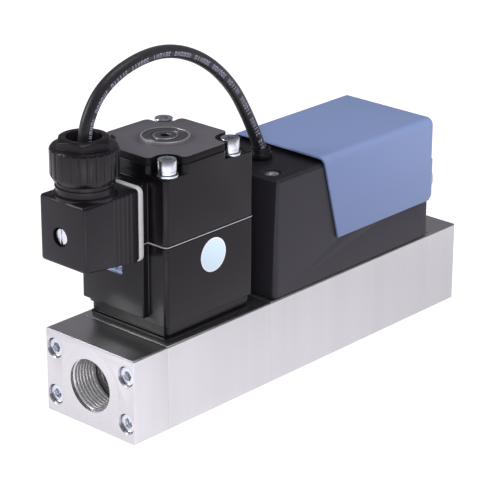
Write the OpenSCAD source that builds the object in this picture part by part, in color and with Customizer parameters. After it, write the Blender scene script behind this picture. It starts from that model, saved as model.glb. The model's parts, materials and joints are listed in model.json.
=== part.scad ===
// Mass flow controller: ported metal block, solenoid control valve with a plug and
// its lead, and a sensor and electronics housing under a folded cover.
// Millimetres. The origin is the middle of the block's underside, X runs along the
// block from the outlet to the inlet, Z is up.

/* [Manifold block] */
// Length of the block over both port flanges
block_l = 225; // [215:1:250]
// Width of the block
block_w = 55; // [54:0.5:60]
// Height of the block
block_h = 40; // [38:0.5:46]
// Thickness of each port flange
flange_t = 21; // [20:0.5:26]
// Length of the block under the valve
valve_block_l = 67.3; // [65:0.1:72]
// Radius at the root of the port thread
port_r = 13.2; // [9:0.1:14]
// Depth of the threaded part of each port
port_depth = 15.7; // [12:0.1:16]
// Radius of the turned face round each port
spot_r = 17.2; // [16:0.1:17.5]
// Distance from the flange screws to the sides of the block
flange_screw_edge = 5.2; // [5:0.05:5.6]
// Height between the flange screws
flange_screw_dz = 22.6; // [21:0.1:23]
// Length of the screws that tie the outlet flange and both blocks together
tie_screw_l = 100; // [95:1:110]
// Length of the screws of the inlet flange
inlet_screw_l = 35; // [30:1:40]
// Length between the fixing holes in the underside
foot_dx = 150; // [130:1:156]
// Width between the fixing holes in the underside
foot_dy = 30; // [28:0.5:32]
// Depth of the fixing holes in the underside
foot_depth = 9; // [6:0.5:12]

/* [Flow path] */
// Radius of the passages in the flanges
passage_r = 9; // [8:0.1:11]
// Radius of the passage from the valve seat to the outlet
outlet_bore_r = 7; // [5:0.1:8]
// Radius of the bore for the flow element
element_bore_r = 12; // [10:0.1:12.4]
// Length of the flow element
element_l = 60; // [50:1:70]
// Radius of each channel in the flow element
channel_r = 1.5; // [1:0.1:1.7]
// Distance between the two sensor taps
tap_dx = 20; // [16:0.5:24]

/* [Valve] */
// Distance from the outlet flange to the valve axis
valve_setback = 27.5; // [27:0.5:30]
// Radius of the chamber round the seat
chamber_r = 15; // [14:0.5:15.5]
// Depth of the chamber
chamber_depth = 10; // [9:0.5:12]
// Radius of the seat orifice
orifice_r = 3; // [2:0.1:4]
// Radius of the plunger
plunger_r = 8; // [7:0.1:8.5]
// Length of the plunger
plunger_l = 33.7; // [30:0.1:38]
// Travel of the plunger
plunger_travel = 1.5; // [0.5:0.1:2]
// Radial running clearance of the plunger in its tube
running_gap = 0.06; // [0.04:0.01:0.1]
// Wall of the guide tube
tube_wall = 1.2; // [1:0.1:1.4]

/* [Coil housing] */
// Width of the coil housing
coil_w = 49.4; // [48.4:0.1:52]
// Distance from the valve axis to the plug side of the coil housing
coil_front = 25.2; // [25:0.1:26]
// Distance from the valve axis to the electronics side of the coil housing
coil_rear = 30.4; // [28:0.1:32]
// Height of the lower shell
coil_lower_h = 43.2; // [38:0.1:46]
// Height of the upper shell up to the floor of its corner pockets
coil_upper_h = 30.4; // [28:0.1:34]
// Height of the notched rim over the pocket floors
coil_rim_h = 4.4; // [3.6:0.1:5]
// Thickness of the light seal between the two shells
parting_t = 0.7; // [0.4:0.1:1.2]
// Thickness of the notched top plate
top_plate_t = 3.2; // [2.4:0.1:4]
// Radius of the pocket round each corner screw
pocket_r = 6.5; // [6:0.1:7]
// Radius that blends each pocket into the sides
pocket_blend_r = 2.5; // [1.5:0.1:3]
// Spacing of the corner screws along the block
coil_screw_dx = 39.2; // [38.6:0.1:40]
// Spacing of the corner screws across the block
coil_screw_dy = 40.4; // [39.8:0.1:41]
// Height of the plug pad's lower edge over the block
pad_low = 9.6; // [6:0.1:14]
// How far the plug pad stands out of the shells
pad_out = 3.4; // [2.4:0.1:5]
// Radius of the round sticker
sticker_r = 7.9; // [5:0.1:10]

/* [Plug and gland] */
// Width of the plug
plug_w = 28; // [26:0.5:30]
// Depth of the plug, from its gasket to its outer face
plug_d = 31; // [29:0.5:34]
// Height of the plug at its gasket
plug_h = 32.7; // [31:0.1:36]
// Height of the plug's lower edge over the block
plug_low = 37.5; // [34:0.1:40]
// Thickness of the plug gasket
plug_gasket_t = 2.4; // [1.6:0.1:3]
// Wall of the plug
plug_wall = 2.4; // [1.8:0.1:3]
// Radius of the hole over the plug screw
plug_hole_r = 4.35; // [4:0.05:5]
// Radius of the ribbed part of the gland nut
gland_r = 14.9; // [14:0.1:15.5]
// Height of the ribbed part of the gland nut
gland_h = 15.2; // [13:0.1:18]
// Width across flats of the hexagon on the gland nut
gland_af = 21.8; // [19:0.1:24]
// Height of the hexagon on the gland nut
gland_hex_h = 3.8; // [3:0.1:6]
// Radius of the jumper cable
cable_r = 3; // [2.5:0.1:3.2]

/* [Electronics housing] */
// How far the housing stays inside the sides of the block
case_inset = 0.3; // [0.2:0.1:1]
// Height of the electronics housing
case_h = 56.9; // [52:0.1:60]
// Wall of the electronics housing
case_wall = 2.4; // [1.8:0.1:3]
// How far the coil side of the housing leans in at the top
case_lean = 1.2; // [0.6:0.1:2]
// Bevel along the top edges
case_bevel = 1.5; // [0.8:0.1:2.2]
// Thickness of the folded cover
cover_t = 1.1; // [0.8:0.1:1.4]
// Air gap between the housing and the top of the cover
cover_gap = 1.9; // [1:0.1:3]
// Bend radius of the cover
cover_bend_r = 3.6; // [2:0.1:5]
// Height of the cover's side flaps
flap_h = 41.8; // [34:0.1:44]
// Height of the circuit board over the block
board_z = 32; // [30:0.5:36]

/* [Hidden] */

$fn = 64;

// Clearance between pieces that are fixed to each other
fit = 0.05;
// Small overlap that makes cuts break through
cut = 0.1;

// Screw sizes: thread radius, head radius, head height, socket width
m5_r = 2.45;
m5_head_r = 4.25;
m5_head_h = 5;
m5_socket = 4;
m4_r = 1.95;
m4_head_r = 3.7;
m4_head_h = 2.5;
m4_socket = 2.5;
m3_r = 1.45;
m3_head_r = 2.75;
m3_head_h = 2;
m3_socket = 2;
socket_depth = 2.2;

// Block
x_end = block_l / 2;
x_out = flange_t - x_end;
x_in = x_end - flange_t;
x_mid = x_out + valve_block_l;
port_z = block_h / 2;
spot_depth = 0.3;
mouth_bevel = 1;
edge_bevel = 0.5;
cbore_r = m5_head_r + 0.45;
cbore_depth = m5_head_h + 1.2;
groove_in_r = 13.7;
groove_out_r = 16.5;
groove_depth = 2.2;
ring_r = 1.1;
ring_mid_r = (groove_in_r + groove_out_r) / 2;
filter_r = element_bore_r + 0.9;
filter_t = 3;

// Valve stack on the valve axis
valve_x = x_out + valve_setback;
floor_z = block_h - chamber_depth;
inlet_bore_r = 4;
inlet_slope = 25;
seat_flange_t = 1.5;
seat_z = floor_z + 3.5;
seat_plug_r = 9;
seat_low = port_z + outlet_bore_r - 1;
seal_proud = 0.8;
seal_t = 2.5;
seal_disc_r = 5.6;
plunger_z = seat_z + seal_proud;
plunger_top = plunger_z + plunger_l;
core_z = plunger_top + plunger_travel + 0.1;
tube_in_r = plunger_r + running_gap;
tube_out_r = tube_in_r + tube_wall;
tube_flange_t = 4;
tube_flange_r = 20;
tube_ring_r = 0.78;
tube_ring_mid_r = 17.5;
spring_r = 2.9;
spring_wire_r = 0.4;
spring_turns = 6;
spring_pocket_r = 3.7;
plunger_pocket = 9;
core_pocket = 3;
spring_z0 = plunger_top - plunger_pocket;
spring_z1 = core_z + core_pocket;

// Coil levels
gasket_t = 0.8;
coil_z0 = block_h + gasket_t;
part_z = coil_z0 + coil_lower_h;
upper_z = part_z + parting_t;
pocket_z = upper_z + coil_upper_h;
rim_z = pocket_z + coil_rim_h;
plate_z = rim_z + top_plate_t;
coil_corner_r = 2.2;
rim_lip_h = 1;
rim_groove_h = 0.8;
skirt_h = 4;
skirt_in = 1;
corner_cut = 3.6;
yoke_r = 21.4;
yoke_wall = 1.5;
yoke_z = block_h + tube_flange_t;
yoke_floor = 3.5;
yoke_top = rim_z - 3.5;
bobbin_r = tube_out_r + 0.1;
bobbin_wall = 1.1;
bobbin_flange_t = 1.5;
winding_r = 19.2;
plate_inset = 0.3;
flat_washer_t = 1.1;
spring_washer_t = 1.5;
head_z = pocket_z + flat_washer_t + spring_washer_t;
coil_thread = 5.2;
core_hole_r = plunger_r + 0.2;
disc_r = 5.5;

// Plug pad and plug
pad_x = valve_x - coil_front - pad_out;
pad_y0 = -plug_w / 2 + 0.2;
pad_y1 = coil_w / 2 - 0.5;
plug_x1 = pad_x - plug_gasket_t;
plug_x0 = plug_x1 - plug_d;
plug_z0 = block_h + plug_low;
plug_z1 = plug_z0 + plug_h;
plug_rise = 2.6;
plug_corner_r = 1.6;
pad_z0 = block_h + pad_low;
pad_z1 = plug_z1 + 1.8;
plug_screw_y = 1.5;
plug_screw_z = plug_z0 + plug_h * 0.485;
blade_w = 6.3;
blade_t = 0.8;
blade_l = 18;
blade_z = plug_z0 + 13;
blade_dy = 16;

// Gland on top of the plug
gland_x = plug_x0 + gland_r - 1.4;
boss_r = plug_w / 2 - 0.2;
boss_h = 2.6;
neck_r = 12.4;
neck_h = 3.4;
spigot_r = 11.2;
spigot_bore_r = 8.05;
gland_z0 = plug_z1 + boss_h + neck_h + 0.2;
gland_z1 = gland_z0 + gland_h;
gland_z2 = gland_z1 + gland_hex_h;
gland_roof = 4.1;
gland_washer_t = 1.1;
spigot_z = gland_z1 - gland_roof - gland_washer_t - 0.1;
gland_hole_r = 7.7;
gland_turn = -16.5;
rib_count = 24;

// Electronics housing
case_x0 = x_mid + 2.2;
case_x1 = x_in - 0.1;
case_l = case_x1 - case_x0;
case_w = block_w - 2 * case_inset;
case_z0 = block_h + gasket_t;
case_z1 = case_z0 + case_h;
case_corner_r = 3;
foot_flare = 1.5;
foot_flare_h = 9;
end_lean = 0.6;
end_lean_h = 20;
post_r = 4.6;
post_x0 = case_x0 + 8.2;
post_x1 = case_x1 - 11.4;
post_dy = case_w - 19.8;
recess_r = m4_head_r + 0.65;
recess_depth = m4_head_h + 0.5;
case_screw_l = case_h - recess_depth + gasket_t + 10;
cover_x0 = case_x0 + 32.4;
cover_x1 = case_x1;
cover_top = case_z1 + cover_gap + cover_t;
flap_slant = 10.8;
cover_clip = 2.2;
cover_step = 0.8;
lug_l = 8;
lug_out = 0.9;
grommet_x = case_x0 + 20;
grommet_hole_r = 4.15;
grommet_flange_r = 5.5;
grommet_flange_h = 2.9;
grommet_collar_r = 4.65;
grommet_collar_h = 2.1;

// Inside the electronics housing
sensor_x = x_mid + 59.2;
sensor_l = 46;
sensor_w = 18;
sensor_h = 10;
sensor_screw_in_x = 3.5;
sensor_screw_in_y = 3;
sensor_thread = 5;
tube_leg = 11;
tube_bend_r = 4;
tap_r = 1.5;
board_x0 = case_x0 + 16;
board_l = post_x1 - post_r - 3.4 - board_x0;
board_w = case_w - 8.4;
board_t = 1.6;
board_low = block_h + board_z;
board_top = board_low + board_t;
spacer_x0 = board_x0 + 9;
spacer_x1 = board_x0 + board_l - 8;
spacer_dy = board_w - 8;
header_h = 9.4;
header_top = board_top + header_h;
// Chips on the board: place along and across it, length, width and height
chips = [[22, -8, 12, 12, 1.6], [40, 6, 9, 9, 1.4], [55, -10, 8, 6, 1.4]];
// Two round capacitors in a row
cap_x = 24;
cap_step = 10;
cap_y = 14;
cap_r = 3;
cap_h = 8;

// Connectors on the end of the housing
connector_z = block_h + 25.4;
round_y = -case_w / 4 - 0.4;
round_r = 7.9;
round_rear = 4.8;
data_y = case_w / 4 - 1.6;
data_wall_x = case_x1 - foot_flare;

// Route of the jumper cable, from the plug insert over the coil to the board header
cable_route = [
    [-112.5, 106], [-112.5, 114], [-112.5, 124], [-112.2, 133], [-110.5, 140.5],
    [-107, 147], [-102.5, 152], [-96, 156.3], [-88, 159.5], [-78, 161.6],
    [-67, 161.9], [-56, 159.8], [-45, 155.3], [-35, 149], [-26.5, 141.5],
    [-19, 132.8], [-12.8, 123], [-7.9, 114], [-4.8, 107.5], [-2.8, 103],
    [-2, 99], [-2, 94], [-2, 88], [-2, 83]
];
cable_sides = 10;

function quarter_arc(cx, cy, r, a0, a1, n) =
    [for (i = [0:n]) let (a = a0 + (a1 - a0) * i / n) [cx + r * cos(a), cy + r * sin(a)]];

// One quarter of an outline whose corner is cut by a round pocket at (sx, sy)
function pocket_quarter(hx, hy, sx, sy, rp, rb) =
    let (bx = sx - sqrt(pow(rp + rb, 2) - pow(hy - rb - sy, 2)),
         by = sy - sqrt(pow(rp + rb, 2) - pow(hx - rb - sx, 2)),
         a0 = atan2(sy - (hy - rb), sx - bx),
         a1 = atan2(sy - by, sx - (hx - rb)))
    concat(quarter_arc(bx, hy - rb, rb, 90, a0, 5),
           quarter_arc(sx, sy, rp, a0 + 180, a1 + 180, 10),
           quarter_arc(hx - rb, by, rb, a1, 0, 5));

function flip(points, mx, my) = [for (p = points) [p[0] * mx, p[1] * my]];

function backwards(points) = [for (i = [len(points) - 1:-1:0]) points[i]];

function pocket_outline(hx, hy, sx, sy, rp, rb) =
    let (q = pocket_quarter(hx, hy, sx, sy, rp, rb))
    concat(q, backwards(flip(q, 1, -1)), flip(q, -1, -1), backwards(flip(q, -1, 1)));

function unit(v) = v / norm(v);

// Faces of a closed tube of rings that have the same number of sides
function tube_faces(rings, sides) = concat(
    [[for (j = [sides - 1:-1:0]) j]],
    [for (i = [0:rings - 2], j = [0:sides - 1])
        [i * sides + j, i * sides + (j + 1) % sides,
         (i + 1) * sides + (j + 1) % sides, (i + 1) * sides + j]],
    [[for (j = [0:sides - 1]) (rings - 1) * sides + j]]);

module at_corners(dx, dy) {
    for (sx = [-1, 1], sy = [-1, 1]) translate([sx * dx / 2, sy * dy / 2]) children();
}

module rounded_plan(x0, x1, w, r) {
    translate([x0 + r, -w / 2]) square([x1 - x0 - 2 * r, w]);
    translate([x0, -w / 2 + r]) square([x1 - x0, w - 2 * r]);
    for (x = [x0 + r, x1 - r], y = [r - w / 2, w / 2 - r]) translate([x, y]) circle(r);
}

// Extrudes a side view, drawn as X and Z, to the width w about the middle plane
module side_prism(w) {
    translate([0, w / 2, 0]) rotate([90, 0, 0]) linear_extrude(w) children();
}

module along_x(x) {
    translate([x, 0, 0]) rotate([0, 90, 0]) children();
}

module round_ring(mid_r, section_r) {
    rotate_extrude() translate([mid_r, 0]) circle(section_r, $fn = 24);
}

module tube(r_out, r_in, h) {
    difference() {
        cylinder(r = r_out, h = h);
        translate([0, 0, -cut]) cylinder(r = r_in, h = h + 2 * cut);
    }
}

// Socket screw whose head stands on z = 0 and whose shank points down
module socket_screw(r, head_r, head_h, l, socket) {
    difference() {
        union() {
            cylinder(r = head_r, h = head_h - 0.4);
            translate([0, 0, head_h - 0.4]) cylinder(r1 = head_r, r2 = head_r - 0.4, h = 0.4);
            translate([0, 0, -l]) cylinder(r = r, h = l + cut);
        }
        translate([0, 0, head_h - min(socket_depth, head_h * 0.7)])
            cylinder(d = socket * 2 / sqrt(3), h = socket_depth + 1, $fn = 6);
    }
}

// Block bar between two planes, with lightly broken long edges
module bar(x0, x1) {
    w = block_w / 2;
    h = block_h;
    b = edge_bevel;
    translate([x0, 0, 0]) rotate([90, 0, 90]) linear_extrude(x1 - x0)
        polygon([[-w + b, 0], [w - b, 0], [w, b], [w, h - b],
                 [w - b, h], [-w + b, h], [-w, h - b], [-w, b]]);
}

module flange_screw_places() {
    for (sy = [-1, 1], sz = [-1, 1])
        translate([0, sy * (block_w / 2 - flange_screw_edge), port_z + sz * flange_screw_dz / 2])
            children();
}

// Port flange drawn at the outlet end
module port_flange() {
    difference() {
        bar(-x_end, x_out);
        translate([-x_end - cut, 0, port_z]) rotate([0, 90, 0])
            cylinder(r = spot_r, h = spot_depth + cut);
        translate([-x_end, 0, port_z]) rotate([0, 90, 0]) cylinder(r = port_r, h = port_depth);
        translate([-x_end + spot_depth, 0, port_z]) rotate([0, 90, 0])
            cylinder(r1 = port_r + mouth_bevel, r2 = port_r, h = mouth_bevel);
        translate([-x_end, 0, port_z]) rotate([0, 90, 0]) cylinder(r = passage_r, h = flange_t + cut);
        translate([x_out - groove_depth, 0, port_z]) rotate([0, 90, 0])
            tube(groove_out_r, groove_in_r, groove_depth + cut);
        flange_screw_places() {
            along_x(-x_end - cut) cylinder(r = cbore_r, h = cbore_depth + cut);
            along_x(-x_end) cylinder(r = m5_r + 0.3, h = flange_t + cut);
        }
    }
}

module outlet_flange() {
    color("gainsboro") port_flange();
}

module inlet_flange() {
    color("gainsboro") mirror([1, 0, 0]) port_flange();
}

module foot_holes() {
    at_corners(foot_dx, foot_dy) translate([0, 0, -cut]) cylinder(r = 2.5, h = foot_depth + cut);
}

module valve_block() {
    color("gainsboro") difference() {
        bar(x_out, x_mid);
        flange_screw_places() along_x(x_out - cut)
            cylinder(r = m5_r + 0.3, h = valve_block_l + 2 * cut);
        translate([x_out - cut, 0, port_z]) rotate([0, 90, 0])
            cylinder(r = outlet_bore_r, h = valve_setback + outlet_bore_r);
        translate([valve_x, 0, 0]) {
            translate([0, 0, floor_z]) cylinder(r = chamber_r, h = chamber_depth + cut);
            translate([0, 0, port_z]) cylinder(r = seat_plug_r, h = floor_z - port_z + cut);
            at_corners(coil_screw_dx, coil_screw_dy)
                translate([0, 0, block_h - coil_thread - 0.4])
                    cylinder(r = m5_r + fit, h = coil_thread + 1);
        }
        translate([x_mid - groove_depth, 0, port_z]) rotate([0, 90, 0])
            tube(groove_out_r, groove_in_r, groove_depth + cut);
        translate([x_mid - 4, 0, port_z]) rotate([0, 90, 0]) cylinder(r = outlet_bore_r, h = 5);
        translate([x_mid + 2, 0, port_z - 1]) rotate([0, inlet_slope - 90, 0])
            cylinder(r = inlet_bore_r, h = (x_mid - valve_x - 10) / cos(inlet_slope));
        foot_holes();
    }
}

module sensor_block() {
    tie_end = -x_end + cbore_depth + tie_screw_l;
    color("gainsboro") difference() {
        bar(x_mid, x_in);
        flange_screw_places() {
            along_x(x_mid - cut) cylinder(r = m5_r + fit, h = tie_end - x_mid + 2);
            along_x(x_end - cbore_depth - inlet_screw_l - 2)
                cylinder(r = m5_r + fit, h = inlet_screw_l + 2);
        }
        translate([x_mid - cut, 0, port_z]) rotate([0, 90, 0])
            cylinder(r = outlet_bore_r, h = x_in - x_mid);
        translate([sensor_x - element_l / 2 - 6, 0, port_z]) rotate([0, 90, 0])
            cylinder(r = element_bore_r, h = x_in - sensor_x + element_l / 2 + 7);
        translate([x_in - filter_t, 0, port_z]) rotate([0, 90, 0])
            cylinder(r = filter_r + fit, h = filter_t + cut);
        for (s = [-1, 1]) translate([sensor_x + s * tap_dx / 2, 0, port_z])
            cylinder(r = tap_r, h = block_h);
        sensor_screw_places() translate([0, 0, block_h - sensor_thread - 1.5])
            cylinder(r = m3_r + fit, h = sensor_thread + 2);
        post_places() translate([0, 0, block_h - 11]) cylinder(r = m4_r + fit, h = 12);
        spacer_places() translate([0, 0, block_h - 6]) cylinder(r = m3_r + fit, h = 7);
        foot_holes();
    }
}

module tie_screws() {
    color("silver") flange_screw_places() along_x(-x_end + cbore_depth) rotate([180, 0, 0])
        socket_screw(m5_r, m5_head_r, m5_head_h, tie_screw_l, m5_socket);
}

module inlet_screws() {
    color("silver") mirror([1, 0, 0]) flange_screw_places()
        along_x(-x_end + cbore_depth) rotate([180, 0, 0])
            socket_screw(m5_r, m5_head_r, m5_head_h, inlet_screw_l, m5_socket);
}

module outlet_seal() {
    color("dimgray") translate([x_out - ring_r, 0, port_z]) rotate([0, 90, 0])
        round_ring(ring_mid_r, ring_r);
}

module inlet_seal() {
    color("dimgray") mirror([1, 0, 0]) outlet_seal();
}

module block_seal() {
    color("dimgray") translate([x_mid - ring_r, 0, port_z]) rotate([0, 90, 0])
        round_ring(ring_mid_r, ring_r);
}

module inlet_filter() {
    color("tan") translate([x_in - filter_t, 0, port_z]) rotate([0, 90, 0])
        cylinder(r = filter_r, h = filter_t - 0.2);
}

// Round bar with a ring pattern of flow channels
module flow_element() {
    color("silver") translate([sensor_x - element_l / 2, 0, port_z]) rotate([0, 90, 0])
        difference() {
            cylinder(r = element_bore_r - fit, h = element_l);
            translate([0, 0, -cut]) cylinder(r = channel_r, h = element_l + 1);
            for (k = [[6, 4], [12, 8]], i = [0:k[0] - 1]) rotate(i * 360 / k[0])
                translate([k[1], 0, -cut]) cylinder(r = channel_r, h = element_l + 1);
        }
}

module sensor_screw_places() {
    translate([sensor_x, 0])
        at_corners(sensor_l - 2 * sensor_screw_in_x, sensor_w - 2 * sensor_screw_in_y) children();
}

module sensor_base() {
    color("lightgray") difference() {
        translate([0, 0, block_h]) linear_extrude(sensor_h)
            rounded_plan(sensor_x - sensor_l / 2, sensor_x + sensor_l / 2, sensor_w, 1.5);
        for (s = [-1, 1]) translate([sensor_x + s * tap_dx / 2, 0, block_h - cut]) {
            cylinder(r = tap_r / 2, h = sensor_h + 1);
            cylinder(r = 3.6, h = 1.2 + cut);
        }
        sensor_screw_places() translate([0, 0, block_h - cut]) cylinder(r = m3_r + 0.2, h = sensor_h + 1);
    }
}

module sensor_seals() {
    color("dimgray") for (s = [-1, 1])
        translate([sensor_x + s * tap_dx / 2, 0, block_h + 0.6]) round_ring(2.7, 0.58);
}

module sensor_screws() {
    color("silver") sensor_screw_places() translate([0, 0, block_h + sensor_h])
        socket_screw(m3_r, m3_head_r, m3_head_h, sensor_h + sensor_thread, m3_socket);
}

// Bridge-shaped capillary, as a solid of the radius r
module bridge(r) {
    span = tap_dx / 2 - tube_bend_r;
    base = block_h + sensor_h;
    for (s = [-1, 1]) translate([sensor_x, 0, base]) mirror([s < 0 ? 1 : 0, 0, 0]) {
        translate([tap_dx / 2, 0, 0]) cylinder(r = r, h = tube_leg, $fn = 24);
        translate([span, 0, tube_leg]) rotate([90, 0, 0])
            rotate_extrude(angle = 90) translate([tube_bend_r, 0]) circle(r, $fn = 24);
        translate([-cut, 0, tube_leg + tube_bend_r]) rotate([0, 90, 0])
            cylinder(r = r, h = span + cut, $fn = 24);
    }
}

module sensor_tube() {
    color("silver") bridge(0.8);
}

module sensor_windings() {
    color("peru") for (s = [-1, 1])
        translate([sensor_x + s * 3.1 - 2.2, 0, block_h + sensor_h + tube_leg + tube_bend_r])
            rotate([0, 90, 0]) tube(1.7, 0.8 + fit, 4.4);
}

module valve_seat() {
    color("goldenrod") translate([valve_x, 0, 0]) rotate_extrude() polygon([
        [orifice_r, seat_low], [seat_plug_r - fit, seat_low],
        [seat_plug_r - fit, seat_low + 1], [seat_plug_r - 1.6, seat_low + 1],
        [seat_plug_r - 1.6, seat_low + 2.8], [seat_plug_r - fit, seat_low + 2.8],
        [seat_plug_r - fit, floor_z], [chamber_r - 3, floor_z],
        [chamber_r - 3, floor_z + seat_flange_t], [orifice_r + 3, floor_z + seat_flange_t],
        [orifice_r + 1, seat_z], [orifice_r, seat_z]]);
}

module seat_seal() {
    color("dimgray") translate([valve_x, 0, seat_low + 1.9]) round_ring(seat_plug_r - 0.8, 0.74);
}

module plunger() {
    color("silver") translate([valve_x, 0, plunger_z]) difference() {
        cylinder(r = plunger_r, h = plunger_l);
        translate([0, 0, -cut]) cylinder(r = seal_disc_r + fit, h = seal_t - seal_proud + cut);
        translate([0, 0, plunger_l - plunger_pocket]) cylinder(r = spring_pocket_r, h = plunger_pocket + 1);
        for (a = [0, 180]) rotate(a) translate([plunger_r, 0, -cut]) cylinder(r = 1, h = plunger_l + 1);
    }
}

module plunger_seal() {
    color("firebrick") translate([valve_x, 0, seat_z]) cylinder(r = seal_disc_r, h = seal_t);
}

// Helical compression spring between the plunger and the fixed core
module return_spring() {
    steps = 12;
    sides = 6;
    rings = spring_turns * steps + 1;
    rise = spring_z1 - spring_z0 - 2 * spring_wire_r - 0.02;
    pts = [for (i = [0:rings - 1])
        let (a = 360 * i / steps, z = spring_z0 + spring_wire_r + 0.01 + rise * i / (rings - 1))
        for (j = [0:sides - 1]) let (b = 360 * j / sides)
        [(spring_r + spring_wire_r * cos(b)) * cos(a),
         (spring_r + spring_wire_r * cos(b)) * sin(a),
         z + spring_wire_r * sin(b)]];
    color("silver") translate([valve_x, 0, 0])
        polyhedron(pts, [for (f = tube_faces(rings, sides)) backwards(f)]);
}

module guide_tube() {
    color("silver") translate([valve_x, 0, 0]) rotate_extrude() polygon([
        [tube_in_r, block_h], [tube_ring_mid_r - 1.3, block_h],
        [tube_ring_mid_r - 1.3, block_h + 2 * tube_ring_r], [tube_ring_mid_r + 1.3, block_h + 2 * tube_ring_r],
        [tube_ring_mid_r + 1.3, block_h], [tube_flange_r, block_h],
        [tube_flange_r, yoke_z], [tube_out_r, yoke_z],
        [tube_out_r, yoke_top], [tube_in_r, yoke_top]]);
}

module guide_tube_seal() {
    color("dimgray") translate([valve_x, 0, block_h + tube_ring_r])
        round_ring(tube_ring_mid_r, tube_ring_r);
}

module fixed_core() {
    color("silver") translate([valve_x, 0, 0]) difference() {
        translate([0, 0, core_z]) cylinder(r = plunger_r, h = plate_z - 0.4 - core_z);
        translate([0, 0, core_z - cut]) cylinder(r = spring_pocket_r, h = core_pocket + cut);
        translate([0, 0, plate_z - 15]) cylinder(r = 3, h = 16);
    }
}

module coil_yoke() {
    color("slategray") translate([valve_x, 0, 0]) rotate_extrude() polygon([
        [tube_out_r + 0.1, yoke_z], [yoke_r, yoke_z], [yoke_r, yoke_top],
        [yoke_r - yoke_wall, yoke_top], [yoke_r - yoke_wall, yoke_z + yoke_floor],
        [tube_out_r + 0.1, yoke_z + yoke_floor]]);
}

module coil_bobbin() {
    z0 = yoke_z + yoke_floor;
    z1 = yoke_top;
    flange_r = yoke_r - yoke_wall - 0.1;
    color("ivory") translate([valve_x, 0, 0]) rotate_extrude() polygon([
        [bobbin_r, z0], [flange_r, z0], [flange_r, z0 + bobbin_flange_t],
        [bobbin_r + bobbin_wall, z0 + bobbin_flange_t],
        [bobbin_r + bobbin_wall, z1 - bobbin_flange_t],
        [flange_r, z1 - bobbin_flange_t], [flange_r, z1], [bobbin_r, z1]]);
}

module coil_winding() {
    z0 = yoke_z + yoke_floor + bobbin_flange_t;
    z1 = yoke_top - bobbin_flange_t;
    color("peru") translate([valve_x, 0, z0]) tube(winding_r, bobbin_r + bobbin_wall + fit, z1 - z0);
}

module coil_plan(inset) {
    rounded_plan(valve_x - coil_front + inset, valve_x + coil_rear - inset,
                 coil_w - 2 * inset, coil_corner_r);
}

module coil_screw_holes(r, z0, z1) {
    translate([valve_x, 0, z0]) at_corners(coil_screw_dx, coil_screw_dy)
        cylinder(r = r, h = z1 - z0);
}

module coil_base_gasket() {
    color("black") difference() {
        translate([0, 0, block_h]) linear_extrude(gasket_t) coil_plan(0.6);
        translate([valve_x, 0, block_h - cut]) cylinder(r = tube_flange_r + 0.3, h = 2);
        coil_screw_holes(m5_r + 0.3, block_h - cut, block_h + 2);
    }
}

// Pad that carries the plug, between two levels
module plug_pad(z0, z1) {
    translate([pad_x, pad_y0, z0]) cube([pad_out + coil_corner_r + 0.5, pad_y1 - pad_y0, z1 - z0]);
}

module coil_housing_lower() {
    z1 = coil_z0 + rim_lip_h;
    z2 = z1 + rim_groove_h;
    z3 = z2 + skirt_h;
    color("#38373a") difference() {
        union() {
            translate([0, 0, coil_z0]) linear_extrude(rim_lip_h) coil_plan(0.2);
            translate([0, 0, z1 - cut]) linear_extrude(rim_groove_h + 2 * cut) coil_plan(skirt_in + 0.8);
            translate([0, 0, z2]) linear_extrude(skirt_h + cut) coil_plan(skirt_in);
            translate([0, 0, z3]) linear_extrude(part_z - z3) coil_plan(0);
            plug_pad(pad_z0, part_z);
        }
        translate([valve_x, 0, coil_z0 - cut]) cylinder(r = tube_flange_r + 0.3, h = 8);
        translate([valve_x, 0, yoke_z]) cylinder(r = yoke_r + 0.1, h = part_z);
        coil_screw_holes(m5_r + 0.3, coil_z0 - cut, part_z + cut);
        translate([valve_x + coil_rear, 0, z1]) rotate([0, 45, 0])
            cube([corner_cut * sqrt(2), coil_w + 1, corner_cut * sqrt(2)], center = true);
    }
}

// Upper shell: full outline to the pocket floors, then a rim with the corner pockets
module coil_housing_upper() {
    color("#38373a") difference() {
        union() {
            translate([0, 0, upper_z]) linear_extrude(coil_upper_h) coil_plan(0);
            translate([valve_x, 0, pocket_z - cut]) linear_extrude(coil_rim_h + cut)
                polygon(pocket_outline(coil_front, coil_w / 2, coil_screw_dx / 2,
                                       coil_screw_dy / 2, pocket_r, pocket_blend_r));
            plug_pad(upper_z, pad_z1);
        }
        translate([valve_x, 0, upper_z - cut]) cylinder(r = yoke_r + 0.1, h = coil_upper_h + coil_rim_h + 1);
        coil_screw_holes(m5_r + 0.3, upper_z - cut, pocket_z + cut);
        blades(fit);
        translate([pad_x - cut, plug_screw_y, plug_screw_z]) rotate([0, 90, 0])
            cylinder(r = m3_r + fit, h = 7);
    }
}

module coil_parting_seal() {
    color("lightgray") difference() {
        union() {
            translate([0, 0, part_z]) linear_extrude(parting_t) coil_plan(-0.1);
            plug_pad(part_z, upper_z);
        }
        translate([valve_x, 0, part_z - cut]) cylinder(r = yoke_r + 0.1, h = 2);
        coil_screw_holes(m5_r + 0.3, part_z - cut, upper_z + cut);
    }
}

// Notched plate with a round step that closes the magnetic circuit
module coil_top_plate() {
    color("#57555a") difference() {
        union() {
            translate([valve_x, 0, rim_z]) linear_extrude(top_plate_t)
                polygon(pocket_outline(coil_front - plate_inset, coil_w / 2 - plate_inset,
                                       coil_screw_dx / 2, coil_screw_dy / 2,
                                       pocket_r, pocket_blend_r));
            translate([valve_x, 0, yoke_top]) cylinder(r = yoke_r - 0.1, h = rim_z - yoke_top + cut);
        }
        translate([valve_x, 0, yoke_top - cut]) cylinder(r = core_hole_r, h = 10);
    }
}

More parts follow.
